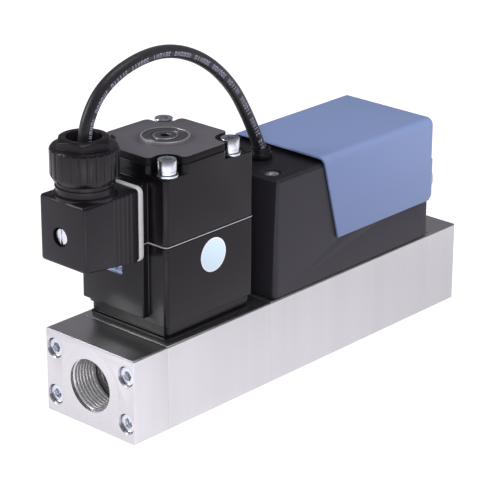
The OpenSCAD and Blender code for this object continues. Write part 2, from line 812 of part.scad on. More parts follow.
// Turned ring with a raised rim round the retaining screw
module retaining_ring() {
    color("silver") translate([valve_x, 0, plate_z]) rotate_extrude() polygon([
        [disc_r + 0.2, 0], [11, 0], [11, 0.9], [10.5, 1.4], [9.6, 1.4],
        [9.2, 0.5], [8.4, 0.5], [8.1, 1], [disc_r + 0.2, 1]]);
}

module retaining_screw() {
    color("silver") translate([valve_x, 0, plate_z]) difference() {
        union() {
            cylinder(r = disc_r, h = 1.2);
            translate([0, 0, -14]) cylinder(r = 3 - fit, h = 14.1);
        }
        translate([0, 0, -1.6]) cylinder(d = 5 * 2 / sqrt(3), h = 4, $fn = 6);
    }
}

module coil_screws() {
    color("silver") translate([valve_x, 0, head_z]) at_corners(coil_screw_dx, coil_screw_dy)
        socket_screw(m5_r, m5_head_r, m5_head_h, head_z - block_h + coil_thread, m5_socket);
}

module coil_spring_washers() {
    color("silver") translate([valve_x, 0, pocket_z + flat_washer_t])
        at_corners(coil_screw_dx, coil_screw_dy) difference() {
            tube(4.1, m5_r + 0.15, spring_washer_t);
            rotate(-45) translate([3.4, 0, spring_washer_t / 2]) rotate([25, 0, 0])
                cube([4, 0.5, 4], center = true);
        }
}

module coil_flat_washers() {
    color("silver") translate([valve_x, 0, pocket_z]) at_corners(coil_screw_dx, coil_screw_dy)
        tube(4.9, m5_r + 0.2, flat_washer_t);
}

// Contact blades of the coil, grown by a clearance for their slots
module blades(grow) {
    t = blade_t + 2 * grow;
    w = blade_w + 2 * grow;
    translate([plug_x1 - blade_l / 2, 0, blade_z]) {
        for (s = [-1, 1]) translate([0, s * blade_dy / 2 - t / 2, -w / 2]) cube([blade_l, t, w]);
        translate([0, -w / 2, 11 - t / 2]) cube([blade_l, w, t]);
    }
}

module terminal_blades() {
    color("silver") blades(0);
}

// Outline of the plug's mating face with round corners, as Y and Z
module plug_face(grow, r) {
    h = plug_h + 2 * grow;
    translate([plug_z0 + plug_h / 2 - h / 2, 0]) rounded_plan(0, h, plug_w + 2 * grow, r);
}

module plug_gasket() {
    color("whitesmoke") difference() {
        translate([plug_x1, 0, 0]) rotate([0, -90, 0]) mirror([0, 0, 1])
            linear_extrude(plug_gasket_t) plug_face(0.7, 3);
        blades(0.3);
        translate([plug_x1 - 1, plug_screw_y, plug_screw_z]) rotate([0, 90, 0])
            cylinder(r = m3_r + 0.2, h = plug_gasket_t + 2);
    }
}

// Side view of the plug, with its underside rising towards the outer face
module plug_side() {
    polygon([[plug_x0, plug_z0 + plug_rise + 1], [plug_x0 + 1, plug_z0 + plug_rise],
             [plug_x1 - 1.5, plug_z0], [plug_x1, plug_z0], [plug_x1, plug_z1],
             [plug_x0 + 0.8, plug_z1], [plug_x0, plug_z1 - 0.8]]);
}

module plug_housing() {
    cavity_w = plug_w - 2 * plug_wall;
    neck_z = plug_z1 + boss_h;
    color("#3c3b3f") difference() {
        union() {
            intersection() {
                side_prism(plug_w) plug_side();
                translate([0, 0, plug_z0 - 1]) linear_extrude(plug_h + 2)
                    rounded_plan(plug_x0, plug_x1 + 4, plug_w, plug_corner_r);
            }
            translate([gland_x, 0, 0]) rotate_extrude() polygon([
                [0, plug_z1 - plug_wall], [boss_r, plug_z1 - plug_wall], [boss_r, neck_z],
                [neck_r, neck_z], [neck_r, neck_z + 0.8], [neck_r + 0.6, neck_z + 1],
                [neck_r + 0.6, neck_z + 1.6], [neck_r, neck_z + 1.8],
                [neck_r, neck_z + neck_h], [spigot_r, neck_z + neck_h],
                [spigot_r, spigot_z], [0, spigot_z]]);
        }
        translate([plug_x0 + plug_wall + 2, -cavity_w / 2, plug_z0 + plug_rise + plug_wall])
            cube([plug_d, cavity_w, plug_h - plug_rise - 2 * plug_wall]);
        translate([gland_x, 0, plug_z1 - plug_wall - 1])
            cylinder(r = spigot_bore_r, h = spigot_z - plug_z1 + plug_wall + 2);
        translate([plug_x0 - cut, plug_screw_y, plug_screw_z]) rotate([0, 90, 0]) {
            cylinder(r = plug_hole_r, h = 2.2 + cut);
            cylinder(r = m3_r + 0.2, h = 8);
        }
        for (i = [0:4], s = [-1, 1])
            translate([plug_x1 - 15 + i * 2.1, s * (plug_w / 2 + 0.05), plug_z0 - 1])
                rotate(45) cube([0.7, 0.7, 2 * plug_h + 10], center = true);
    }
}

module plug_insert() {
    x0 = plug_x0 + plug_wall + 2.6;
    z0 = plug_z0 + plug_rise + plug_wall + 0.5;
    top = cable_route[0][1];
    color("gray") difference() {
        translate([x0, -plug_w / 2 + plug_wall + 0.6, z0])
            cube([plug_x1 - x0, plug_w - 2 * plug_wall - 1.2, top - z0]);
        blades(0.3);
        translate([x0 - 1, plug_screw_y, plug_screw_z]) rotate([0, 90, 0])
            cylinder(r = m3_r + 0.2, h = plug_d);
    }
}

module plug_screw() {
    color("silver") translate([plug_x0 + 2.2, plug_screw_y, plug_screw_z]) rotate([0, -90, 0])
        difference() {
            union() {
                cylinder(r = 3.5, h = 1.5);
                translate([0, 0, -plug_d - 6.5]) cylinder(r = m3_r, h = plug_d + 6.6);
            }
            translate([0, 0, 1.5]) cube([9, 1, 1.6], center = true);
        }
}

// Union nut: ribbed sleeve with a hexagon on top
module gland_nut() {
    hex_r = gland_af / sqrt(3);
    color("#3c3b3f") translate([gland_x, 0, 0]) difference() {
        union() {
            rotate_extrude() polygon([
                [spigot_r + 0.1, gland_z0], [gland_r - 1.6, gland_z0], [gland_r, gland_z0 + 2.8],
                [gland_r, gland_z1 - 1], [gland_r - 0.8, gland_z1], [spigot_r + 0.1, gland_z1]]);
            intersection() {
                translate([0, 0, gland_z1 - gland_roof]) rotate(gland_turn)
                    cylinder(r = hex_r, h = gland_roof + gland_hex_h, $fn = 6);
                rotate_extrude() polygon([
                    [0, gland_z1 - gland_roof - 1], [hex_r + 1, gland_z1 - gland_roof - 1],
                    [hex_r + 1, gland_z2 - 2.1], [gland_af / 2 - 0.4, gland_z2], [0, gland_z2]]);
            }
            translate([0, 0, gland_z1 - gland_roof]) cylinder(r = spigot_r + 0.4, h = gland_roof);
        }
        translate([0, 0, gland_z0 - cut]) cylinder(r = spigot_r + 0.1, h = gland_h - gland_roof + cut);
        translate([0, 0, gland_z0]) cylinder(r = gland_hole_r, h = gland_h + gland_hex_h + 1);
        for (i = [0:rib_count - 1]) rotate((i + 0.5) * 360 / rib_count)
            translate([gland_r + 0.15, 0, gland_z0 - cut]) cylinder(r = 0.55, h = gland_h + 0.5, $fn = 16);
    }
}

module gland_seal() {
    color("dimgray") translate([gland_x, 0, plug_z1 + 1])
        tube(spigot_bore_r - fit, cable_r + fit, spigot_z - plug_z1 - 1);
}

module gland_washer() {
    color("gray") translate([gland_x, 0, spigot_z]) tube(spigot_r - 0.3, cable_r + 0.6, gland_washer_t);
}

module jumper_cable() {
    n = len(cable_route);
    pts = [for (i = [0:n - 1])
        let (p = cable_route[i],
             t = unit(cable_route[min(i + 1, n - 1)] - cable_route[max(i - 1, 0)]))
        for (j = [0:cable_sides - 1])
            let (a = 360 * j / cable_sides, u = cable_r * cos(a), v = cable_r * sin(a))
            [p[0] + t[1] * u, v, p[1] - t[0] * u]];
    color("#2f2f33") polyhedron(pts, tube_faces(n, cable_sides));
}

module cable_grommet() {
    wall_z = case_z1 - case_wall;
    top = case_z1 + grommet_flange_h;
    color("#2f2f33") translate([grommet_x, 0, 0]) rotate_extrude() polygon([
        [cable_r + fit, case_z1], [cable_r + fit, wall_z - 2], [grommet_hole_r + 0.9, wall_z - 1.6],
        [grommet_hole_r + 0.9, wall_z], [grommet_hole_r - fit, wall_z],
        [grommet_hole_r - fit, case_z1], [grommet_flange_r, case_z1],
        [grommet_flange_r, top - 0.5], [grommet_flange_r - 0.5, top],
        [grommet_collar_r, top], [grommet_collar_r, top + grommet_collar_h - 0.3],
        [grommet_collar_r - 0.3, top + grommet_collar_h],
        [cable_r + 0.95, top + grommet_collar_h]]);
}

module post_places() {
    for (x = [post_x0, post_x1], s = [-1, 1]) translate([x, s * post_dy / 2, 0]) children();
}

// Side view of the electronics housing, as X and Z
module case_side() {
    polygon([
        [case_x0, case_z0], [case_x1, case_z0],
        [case_x1 - foot_flare, case_z0 + foot_flare_h],
        [case_x1 - foot_flare, case_z1 - end_lean_h],
        [case_x1 - foot_flare - end_lean, case_z1 - case_bevel],
        [case_x1 - foot_flare - end_lean - case_bevel, case_z1],
        [case_x0 + case_lean + case_bevel, case_z1], [case_x0 + case_lean, case_z1 - case_bevel]]);
}

module case_front() {
    w = case_w / 2;
    polygon([[-w, case_z0 - 1], [w, case_z0 - 1], [w, case_z1 - case_bevel],
             [w - case_bevel, case_z1 + 0.001], [case_bevel - w, case_z1 + 0.001],
             [-w, case_z1 - case_bevel]]);
}

// Screw posts with the ribs that join them to the side walls
module post_plan() {
    rib_l = (case_w - post_dy) / 2;
    for (x = [post_x0, post_x1], s = [-1, 1]) translate([x, s * post_dy / 2]) {
        circle(post_r);
        translate([0, s * rib_l / 2]) square([3, rib_l], center = true);
    }
}

module case_cavity() {
    x0 = case_x0 + case_wall;
    x1 = case_x1 - foot_flare - case_wall;
    difference() {
        side_prism(case_w - 2 * case_wall) polygon([
            [x0, case_z0 - cut], [x1, case_z0 - cut], [x1, case_z1 - end_lean_h - 1],
            [x1 - end_lean, case_z1 - case_wall], [x0 + case_lean, case_z1 - case_wall]]);
        translate([0, 0, case_z0 - 1]) linear_extrude(case_h + 2) post_plan();
    }
}

module electronics_housing() {
    color("#47454f") difference() {
        intersection() {
            side_prism(case_w + 2) case_side();
            translate([case_x0 - 1, 0, 0]) rotate([90, 0, 90]) linear_extrude(case_l + 2) case_front();
            translate([0, 0, case_z0 - 1]) linear_extrude(case_h + 2)
                rounded_plan(case_x0, case_x1, case_w, case_corner_r);
        }
        case_cavity();
        post_places() {
            translate([0, 0, case_z0 - 1]) cylinder(r = m4_r + 0.2, h = case_h + 2);
            translate([0, 0, case_z1 - recess_depth]) cylinder(r = recess_r, h = recess_depth + 1);
        }
        translate([grommet_x, 0, case_z1 - case_wall - 1]) cylinder(r = grommet_hole_r, h = case_wall + 2);
        lugs(0.3);
        translate([data_wall_x - 10, round_y, connector_z]) rotate([0, 90, 0])
            cylinder(r = round_r + 0.1, h = 11);
        translate([data_wall_x - 5, data_y, connector_z]) cube([12, 10.4, 20], center = true);
        for (s = [-1, 1]) translate([data_wall_x - 5, data_y, connector_z + s * 12.5])
            rotate([0, 90, 0]) cylinder(r = 1.6, h = 6);
    }
}

module housing_gasket() {
    color("black") difference() {
        translate([0, 0, block_h]) linear_extrude(gasket_t)
            rounded_plan(case_x0 + 0.3, case_x1 - 0.3, case_w - 0.6, case_corner_r);
        difference() {
            translate([0, 0, block_h - cut]) linear_extrude(gasket_t + 2 * cut)
                rounded_plan(case_x0 + 3, case_x1 - 5, case_w - 2 * case_wall - 0.6, 1.5);
            translate([0, 0, block_h - 1]) linear_extrude(4) post_plan();
        }
        post_places() translate([0, 0, block_h - cut]) cylinder(r = m4_r + 0.2, h = 2);
    }
}

module housing_screws() {
    color("silver") post_places() translate([0, 0, case_z1 - recess_depth])
        socket_screw(m4_r, m4_head_r, m4_head_h, case_screw_l, m4_socket);
}

// Snap lugs inside the flaps, grown by a clearance for their windows in the housing
module lugs(grow) {
    z0 = cover_top - flap_h + 3 - grow;
    for (x = [cover_x0 + 22, cover_x1 - 24], s = [-1, 1])
        translate([x - grow, s * case_w / 2 - lug_out - grow, z0])
            translate([0, s > 0 ? 0 : lug_out - fit, 0])
                cube([lug_l + 2 * grow, lug_out + grow + fit, 3 + 2 * grow]);
}

// Front view of the folded sheet, as Y and Z
module cover_front(w, bend, top) {
    low = cover_top - flap_h;
    translate([-w, low]) square([2 * w, top - low - bend]);
    translate([bend - w, top - bend - 1]) square([2 * (w - bend), bend + 1]);
    for (s = [-1, 1]) translate([s * (w - bend), top - bend]) circle(bend);
}

// Folded cover with slanted flaps and a short turned-down end
module top_cover() {
    w_in = case_w / 2 + fit;
    w_out = w_in + cover_t;
    low = cover_top - flap_h;
    end_x = cover_x1 - cover_step;
    color("#7f90ba") {
        intersection() {
            translate([cover_x0 - 1, 0, 0]) rotate([90, 0, 90])
                linear_extrude(cover_x1 - cover_x0 + 2) difference() {
                    cover_front(w_out, cover_bend_r, cover_top);
                    translate([0, -1])
                        cover_front(w_in, cover_bend_r - cover_t, cover_top - cover_t + 1);
                }
            side_prism(case_w + 20) polygon([
                [cover_x0, cover_top + 1], [cover_x0, cover_top - 1],
                [cover_x0 + flap_slant, low], [cover_x1 - cover_clip, low],
                [cover_x1, low + cover_clip], [cover_x1, low + flap_h / 2],
                [end_x, low + flap_h / 2 + cover_step], [end_x, cover_top + 1]]);
        }
        intersection() {
            translate([end_x - cover_t, -w_in, case_z1 + fit]) cube([cover_t, 2 * w_in, cover_gap + cut]);
            translate([end_x - 3, 0, 0]) rotate([90, 0, 90]) linear_extrude(5)
                cover_front(w_in + cut, cover_bend_r - cover_t, cover_top - cover_t + cut);
        }
        lugs(0);
    }
}

module spacer_places() {
    for (x = [spacer_x0, spacer_x1], s = [-1, 1]) translate([x, s * spacer_dy / 2, 0]) children();
}

module circuit_board() {
    color("darkgreen") difference() {
        translate([0, 0, board_low]) linear_extrude(board_t)
            rounded_plan(board_x0, board_x0 + board_l, board_w, 1);
        spacer_places() translate([0, 0, board_low - 1]) cylinder(r = m3_r + 0.2, h = 4);
    }
}

module board_parts() {
    color("dimgray") {
        for (p = chips) translate([board_x0 + p[0], p[1], board_top]) cube([p[2], p[3], p[4]]);
        for (i = [0, 1]) translate([board_x0 + cap_x + i * cap_step, cap_y, board_top])
            cylinder(r = cap_r, h = cap_h);
    }
}

module board_spacers() {
    color("goldenrod") spacer_places() difference() {
        union() {
            translate([0, 0, block_h]) cylinder(r = 2.9, h = board_z, $fn = 6);
            translate([0, 0, block_h - 5]) cylinder(r = m3_r, h = 5.1);
        }
        translate([0, 0, board_low - 7]) cylinder(r = m3_r + fit, h = 8);
    }
}

module board_screws() {
    color("silver") spacer_places() translate([0, 0, board_top])
        socket_screw(m3_r, m3_head_r, m3_head_h, board_t + 5, m3_socket);
}

// Terminal header on the board, where the jumper cable ends
module cable_header() {
    color("seagreen") difference() {
        translate([grommet_x - 4, -7, board_top]) cube([9, 14, header_h]);
        for (y = [-4.5, 0, 4.5]) translate([grommet_x + 4, y, board_top + 4]) cube([3, 3, 4], center = true);
    }
}

module round_connector() {
    color("silver") translate([data_wall_x, round_y, connector_z]) rotate([0, 90, 0]) difference() {
        union() {
            translate([0, 0, -round_rear]) cylinder(r = round_r - 0.3, h = round_rear + cut);
            cylinder(r = 9.6, h = 2);
            translate([0, 0, 2 - cut]) cylinder(r = round_r, h = 9 + cut);
        }
        translate([0, 0, -round_rear - cut]) cylinder(r = 6.2, h = 24);
    }
}

module round_insert() {
    color("dimgray") translate([data_wall_x, round_y, connector_z]) rotate([0, 90, 0]) difference() {
        translate([0, 0, -round_rear]) cylinder(r = 6.2 - fit, h = round_rear + 9.6);
        translate([0, 0, 5]) cylinder(r = 0.6, h = 9, $fn = 16);
        for (i = [0:6]) rotate(i * 360 / 7 + 25)
            translate([3.6, 0, 5]) cylinder(r = 0.6, h = 9, $fn = 16);
    }
}

// Nine-way socket with its flange and two jack posts
module data_connector() {
    color("silver") translate([data_wall_x, data_y, connector_z]) difference() {
        union() {
            translate([0, -6.2, -15.4]) cube([0.8, 12.4, 30.8]);
            translate([-8, -4.8, -9.6]) cube([8.1, 9.6, 19.2]);
            rotate([90, 0, 90]) linear_extrude(6)
                polygon([[-4.1, -8.4], [4.1, -7], [4.1, 7], [-4.1, 8.4]]);
            for (s = [-1, 1]) translate([0, 0, s * 12.5]) rotate([0, 90, 0]) {
                cylinder(r = 2.7, h = 5.6, $fn = 6);
                translate([0, 0, -4]) cylinder(r = 1.5, h = 4.1);
            }
        }
        for (i = [0:8]) translate([3, i < 5 ? -1.4 : 1.4, (i < 5 ? i - 2 : i - 6.5) * 2.76])
            rotate([0, 90, 0]) cylinder(r = 0.55, h = 4, $fn = 16);
        for (s = [-1, 1]) translate([1, 0, s * 12.5]) rotate([0, 90, 0]) cylinder(r = 1.25, h = 6);
    }
}

module round_sticker() {
    color("lightblue") translate([valve_x + 4.1, -coil_w / 2, block_h + 33.3]) rotate([90, 0, 0])
        cylinder(r = sticker_r, h = 0.2);
}

outlet_flange();
inlet_flange();
valve_block();
sensor_block();
tie_screws();
inlet_screws();
outlet_seal();
inlet_seal();
block_seal();
inlet_filter();
flow_element();
sensor_base();
sensor_seals();
sensor_screws();
sensor_tube();
sensor_windings();
valve_seat();
seat_seal();
plunger();
plunger_seal();
return_spring();
guide_tube();
guide_tube_seal();
fixed_core();
coil_yoke();
coil_bobbin();
coil_winding();
coil_base_gasket();
coil_housing_lower();
coil_housing_upper();
coil_parting_seal();
coil_top_plate();
retaining_ring();
retaining_screw();
coil_screws();
coil_spring_washers();
coil_flat_washers();
terminal_blades();
plug_gasket();
plug_housing();
plug_insert();
plug_screw();
gland_nut();
gland_seal();
gland_washer();
jumper_cable();
cable_grommet();
electronics_housing();
housing_gasket();
housing_screws();
top_cover();
circuit_board();
board_parts();
board_spacers();
board_screws();
cable_header();
round_connector();
round_insert();
data_connector();
round_sticker();
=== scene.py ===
import json
import math
from collections import namedtuple

import bmesh
import bpy
from bpy.props import FloatProperty, FloatVectorProperty, IntProperty, PointerProperty
from mathutils import Euler, Matrix, Vector

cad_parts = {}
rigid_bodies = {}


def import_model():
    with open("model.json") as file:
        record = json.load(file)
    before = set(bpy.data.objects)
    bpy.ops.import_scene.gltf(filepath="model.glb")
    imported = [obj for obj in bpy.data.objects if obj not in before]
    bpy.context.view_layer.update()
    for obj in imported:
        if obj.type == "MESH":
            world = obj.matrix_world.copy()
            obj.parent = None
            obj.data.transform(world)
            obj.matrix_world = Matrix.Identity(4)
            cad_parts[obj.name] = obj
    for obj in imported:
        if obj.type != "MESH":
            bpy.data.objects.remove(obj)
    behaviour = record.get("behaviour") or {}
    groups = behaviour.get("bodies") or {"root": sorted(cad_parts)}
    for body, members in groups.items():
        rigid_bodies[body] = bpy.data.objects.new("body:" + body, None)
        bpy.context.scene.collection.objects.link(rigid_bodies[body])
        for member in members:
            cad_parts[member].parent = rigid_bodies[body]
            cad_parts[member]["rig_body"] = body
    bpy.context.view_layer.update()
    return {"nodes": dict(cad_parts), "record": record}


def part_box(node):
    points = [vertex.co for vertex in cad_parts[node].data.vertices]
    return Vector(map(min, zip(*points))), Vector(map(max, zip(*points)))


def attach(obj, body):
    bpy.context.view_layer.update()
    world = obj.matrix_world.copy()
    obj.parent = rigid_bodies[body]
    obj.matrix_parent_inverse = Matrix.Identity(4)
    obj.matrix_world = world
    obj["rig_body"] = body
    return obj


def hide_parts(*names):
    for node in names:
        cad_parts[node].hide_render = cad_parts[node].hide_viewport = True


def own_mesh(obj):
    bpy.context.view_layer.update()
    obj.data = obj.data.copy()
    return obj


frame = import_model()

bl_info = {
    "name": "Mass flow controller finish",
    "version": (1, 0, 0),
    "blender": (4, 5, 0),
    "location": "View3D > Sidebar > Flow controller",
    "description": "Gives a packed mass flow controller its edges, screws, lead and surfaces",
    "category": "Object",
}

MM = 0.001
SLOT_OF = {part["node"]: part["material_slot"] for part in frame["record"]["subparts"]}

# Axes and faces of the object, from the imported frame
BLOCK_LOW, BLOCK_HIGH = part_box("outlet_flange")
PORT_Z = (BLOCK_LOW.z + BLOCK_HIGH.z) / 2
OUTLET_X = BLOCK_LOW.x
INLET_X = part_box("inlet_flange")[1].x
VALVE_X = (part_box("retaining_ring")[0].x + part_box("retaining_ring")[1].x) / 2
GLAND_LOW, GLAND_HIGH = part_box("gland_nut")
GLAND_X = (GLAND_LOW.x + GLAND_HIGH.x) / 2

# Route of the jumper cable, X and Z in millimetres on the middle plane
CABLE_ROUTE = [
    (-112.5, 106), (-112.5, 114), (-112.5, 124), (-112.2, 133), (-110.5, 140.5),
    (-107, 147), (-102.5, 152), (-96, 156.3), (-88, 159.5), (-78, 161.6),
    (-67, 161.9), (-56, 159.8), (-45, 155.3), (-35, 149), (-26.5, 141.5),
    (-19, 132.8), (-12.8, 123), (-7.9, 114), (-4.8, 107.5), (-2.8, 103),
    (-2, 99), (-2, 94), (-2, 88), (-2, 83),
]

# Port threads in millimetres: radius at the root, how far the ridge sinks into it and where it
# starts; its turns, and the width of its foot and crest as shares of the pitch
PORT_ROOT = 13.2
RIDGE_SINK = 0.1
THREAD_START = 1.0
THREAD_TURNS = 7.6
THREAD_FOOT = 0.98
THREAD_CREST = 0.14

# Turned face and first flank round a port, as radius and depth in millimetres
PORT_FACE = [(12.35, 0.008), (17.43, 0.008), (17.43, 0.31), (14.2, 0.31), (PORT_ROOT, 1.3),
             (12.9, 1.3), (12.35, 0.5)]

# Ring and screw on the plate, as radius and height over it in millimetres
RETAINING_RING = [(5.7, 0), (11, 0), (11, 1.15), (10.85, 1.3), (10.2, 1.3), (10.1, 0.95),
                  (9.0, 0.95), (8.9, 1.1), (6.9, 1.1), (6.8, 0.8), (5.7, 0.8)]
RETAINING_SCREW = [(2.9, -14), (2.9, 0), (5.5, 0), (5.5, 1.1), (5.38, 1.2), (4.3, 1.2, "hex"),
                   (4.15, 1.1, "hex"), (4.0, -1.6, "hex"), (1.6, -2.1, "hex")]

# Radius of the rims of that screw and ring that get painted highlights, and rounding of the sticker,
# in millimetres
SCREW_RIM_HIGHLIGHT = 5.3
RING_RIM_HIGHLIGHT = 10.6
STICKER_EDGE = 0.05

# Boss and neck over the plug, as radius and height over its top in millimetres
NECK_RADIUS = 11.2
NECK_BORE = 8.05
PLUG_NECK = [(NECK_BORE, -2.4), (13.8, -2.4), (13.8, 0.6), (13.3, 1.1), (12.6, 1.3), (12.4, 2.6),
             (12.4, 3.4), (13.0, 3.6), (13.0, 4.2), (12.4, 4.4), (12.4, 6.0), (NECK_RADIUS, 6.0)]

# Plug in millimetres: its step back from the gasket's edge, the slope at its foot, the hole over
# its screw, and the grooves across its sides, counted from the gasket
PLUG_SEAT = 0.7
PLUG_SLOPE_HIGH = 2.6
PLUG_SLOPE_END = 1.5
PLUG_HOLE_RADIUS = 4.35
PLUG_HOLE_DEPTH = 2.2
GROOVES = 5
GROOVE_WIDTH = 0.5
GROOVE_STEP = 2.55
FIRST_GROOVE = 4.1

# Label on the pad in millimetres: its span in Y and Z, its corners, and how deep it sinks and stands
LABEL_Y = (-1.1, 22.5)
LABEL_Z = (66.8, 76.0)
LABEL_CORNER = 1.0
LABEL_SINKS = 0.15
LABEL_STANDS = 0.02

# Faces round a large turned piece, the neck and the hole over the plug's screw
TURNED_SIDES = 96
NECK_SIDES = 72
HOLE_SIDES = 48

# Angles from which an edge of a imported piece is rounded, and a smooth mesh has a crease
ROUND_FROM = math.radians(35)
CREASE_FROM = math.radians(30)
PLUG_CREASE_FROM = math.radians(32)
ROUNDED_CREASE_FROM = math.radians(50)

# Most that a fastener is turned about its own axis, and how a fastener or a port is turned
# from upright
KEY_TURN = math.radians(60)
UP = (0.0, 0.0, 0.0)
TOWARDS_OUTLET = (0.0, -math.pi / 2, 0.0)
TOWARDS_INLET = (0.0, math.pi / 2, 0.0)

# Lamps as place, aim and size in metres, and whether gloss mirrors them
Lamp = namedtuple("Lamp", "place aim size mirrored")
LAMPS = {
    "softbox": Lamp((0.1, -0.1, 1.5), (0.0, 0.0, 0.06), (0.6, 0.9), True),
    "left_fill": Lamp((-1.15, 0.95, 0.8), (0.0, 0.0, 0.07), (0.6, 0.9), True),
    "right_fill": Lamp((1.1, -1.0, 0.8), (0.0, 0.0, 0.06), (0.9, 0.8), False),
    "front_fill": Lamp((-1.05, -0.85, 0.7), (-0.05, 0.0, 0.05), (0.5, 0.5), False),
}
FLOOR_HALF = 6.0

# What the floor adds to its own light in gloss, as shares of its glow: everywhere, behind the
# object, at the corner near the camera, and along the object at its middle and per metre
GLOW_EVERYWHERE = 0.68
GLOW_BEHIND = -0.45
GLOW_CORNER = 2.2
GLOW_MIDDLE = 0.37
GLOW_SLOPE = -2.9

# Soft edges of those places in metres, as start and width; a negative width falls
BEHIND_X = (-0.1, -0.03)
BEHIND_Y = (0.05, 0.04)
CORNER_X = (-0.17, -0.03)
CORNER_Y = (-0.1, -0.03)
CORNER_END_X = (-0.4, 0.05)
CORNER_END_Y = (-0.35, 0.05)

# Settings that the sizes, colours and lamps of the panel share
DISTANCE = {"min": 0.0, "subtype": "DISTANCE", "unit": "LENGTH"}
THICKNESS = {"min": 0.5 * MM, "subtype": "DISTANCE", "unit": "LENGTH"}
COLOUR = {"subtype": "COLOR", "size": 3, "min": 0.0, "max": 1.0}
POWER = {"min": 0.0, "unit": "POWER"}
TURN = {"subtype": "ANGLE", "unit": "ROTATION"}


class EdgeSizes(bpy.types.PropertyGroup):
    """How far the edges of the pieces are rounded"""

    block: FloatProperty(name="Block edges", description="Rounding of the machined block pieces",
                         default=0.22 * MM, **DISTANCE)
    coil: FloatProperty(name="Coil edges", description="Rounding of the moulded coil shells",
                        default=0.5 * MM, **DISTANCE)
    plug: FloatProperty(name="Plug edges", description="Rounding of the plug",
                        default=1.6 * MM, **DISTANCE)
    housing: FloatProperty(name="Housing edges", description="Rounding of the electronics housing",
                           default=0.3 * MM, **DISTANCE)
    cover: FloatProperty(name="Cover edges", description="Rounding of the folded sheet's edges",
                         default=0.22 * MM, **DISTANCE)
    fine: FloatProperty(name="Fine edges", description="Rounding of small turned pieces",
                        default=0.12 * MM, **DISTANCE)


class FastenerSizes(bpy.types.PropertyGroup):
    """Sizes of the screws and threads"""

    chamfer: FloatProperty(name="Head chamfer", description="Chamfer round the top of a large head",
                           default=0.45 * MM, **DISTANCE)
    head_sides: IntProperty(name="Head sides", description="Faces round a screw head",
                            default=48, min=24, max=96)
    port_pitch: FloatProperty(name="Port pitch", description="Pitch of the port threads",
                              default=1.814 * MM, **THICKNESS)
    port_crest: FloatProperty(name="Port crest", description="Radius at the crest of the port threads",
                              default=12.06 * MM, **THICKNESS)
    turn_seed: IntProperty(name="Turn seed", description="Seed for how far each screw is turned",
                           default=4, min=0)


class CableSizes(bpy.types.PropertyGroup):
    """Sizes of the lead between plug and housing"""

    radius: FloatProperty(name="Radius", description="Radius of the lead's jacket",
                          default=3.0 * MM, **THICKNESS)
    sides: IntProperty(name="Sides", description="Faces round the lead", default=28, min=8, max=64)
    steps: IntProperty(name="Steps", description="Rings between two points of the route",
                       default=8, min=2, max=16)


class Colours(bpy.types.PropertyGroup):
    """Colours of the surfaces"""

    block: FloatVectorProperty(name="Block", description="Machined block",
                               default=(0.725, 0.722, 0.732), **COLOUR)
    steel: FloatVectorProperty(name="Screws", description="Screws and washers",
                               default=(0.77, 0.80, 0.86), **COLOUR)
    coil: FloatVectorProperty(name="Coil", description="Moulded coil shells",
                              default=(0.0058, 0.0048, 0.0064), **COLOUR)
    plug: FloatVectorProperty(name="Plug", description="Plug and gland nut",
                              default=(0.0085, 0.0072, 0.0098), **COLOUR)
    housing: FloatVectorProperty(name="Housing", description="Coat of the electronics housing",
                                 default=(0.021, 0.019, 0.027), **COLOUR)
    cover: FloatVectorProperty(name="Cover", description="Coat of the folded cover",
                               default=(0.193, 0.258, 0.462), **COLOUR)
    # The parting colour is a painted highlight, a pale stripe along the seam between the coil shells
    parting: FloatVectorProperty(name="Parting seal", description="Pale seal between the coil shells",
                                 default=(0.50, 0.47, 0.56), **COLOUR)
    sticker: FloatVectorProperty(name="Sticker", description="Round sticker",
                                 default=(0.64, 0.79, 0.90), **COLOUR)
    label: FloatVectorProperty(name="Label", description="Label on the plug pad",
                               default=(0.45, 0.54, 0.84), **COLOUR)


class StudioSettings(bpy.types.PropertyGroup):
    """Camera and light"""

    azimuth: FloatProperty(name="Azimuth", description="Side that the camera sees, 0 looks along +Y",
                           default=math.radians(-47.7665), **TURN)
    elevation: FloatProperty(name="Elevation", description="Height of the camera over the horizon",
                             default=math.radians(21.7464), **TURN)
    roll: FloatProperty(name="Roll", description="Turn of the picture",
                        default=math.radians(0.291), **TURN)
    lens: FloatProperty(name="Focal length", description="Focal length in millimetres, 36 mm sensor",
                        default=156.7, min=10.0)
    camera_place: FloatVectorProperty(name="Camera place", description="Where the camera stands",
                                      default=(-0.70477, -0.63188, 0.42874), size=3,
                                      subtype="TRANSLATION", unit="LENGTH")
    softbox: FloatProperty(name="Softbox", description="Power of the large lamp overhead",
                           default=4.0, **POWER)
    left_fill: FloatProperty(name="Left fill", description="Power of the lamp at the left",
                             default=10.0, **POWER)
    right_fill: FloatProperty(name="Right fill", description="Power of the lamp at the right",
                              default=23.0, **POWER)
    front_fill: FloatProperty(name="Front fill", description="Power of the lamp beside the camera",
                              default=7.0, **POWER)
    sky: FloatProperty(name="Sky", description="Level of the world's even light",
                       default=0.3, min=0.0, max=1.0)
    dark_sky: FloatProperty(name="Sky in reflections", description="Level of the sky in gloss",
                            default=0.19, min=0.0, max=1.0)
    floor_glow: FloatProperty(name="Floor in reflections", description="Level of the floor in gloss",
                              default=0.5, min=0.0, max=1.0)


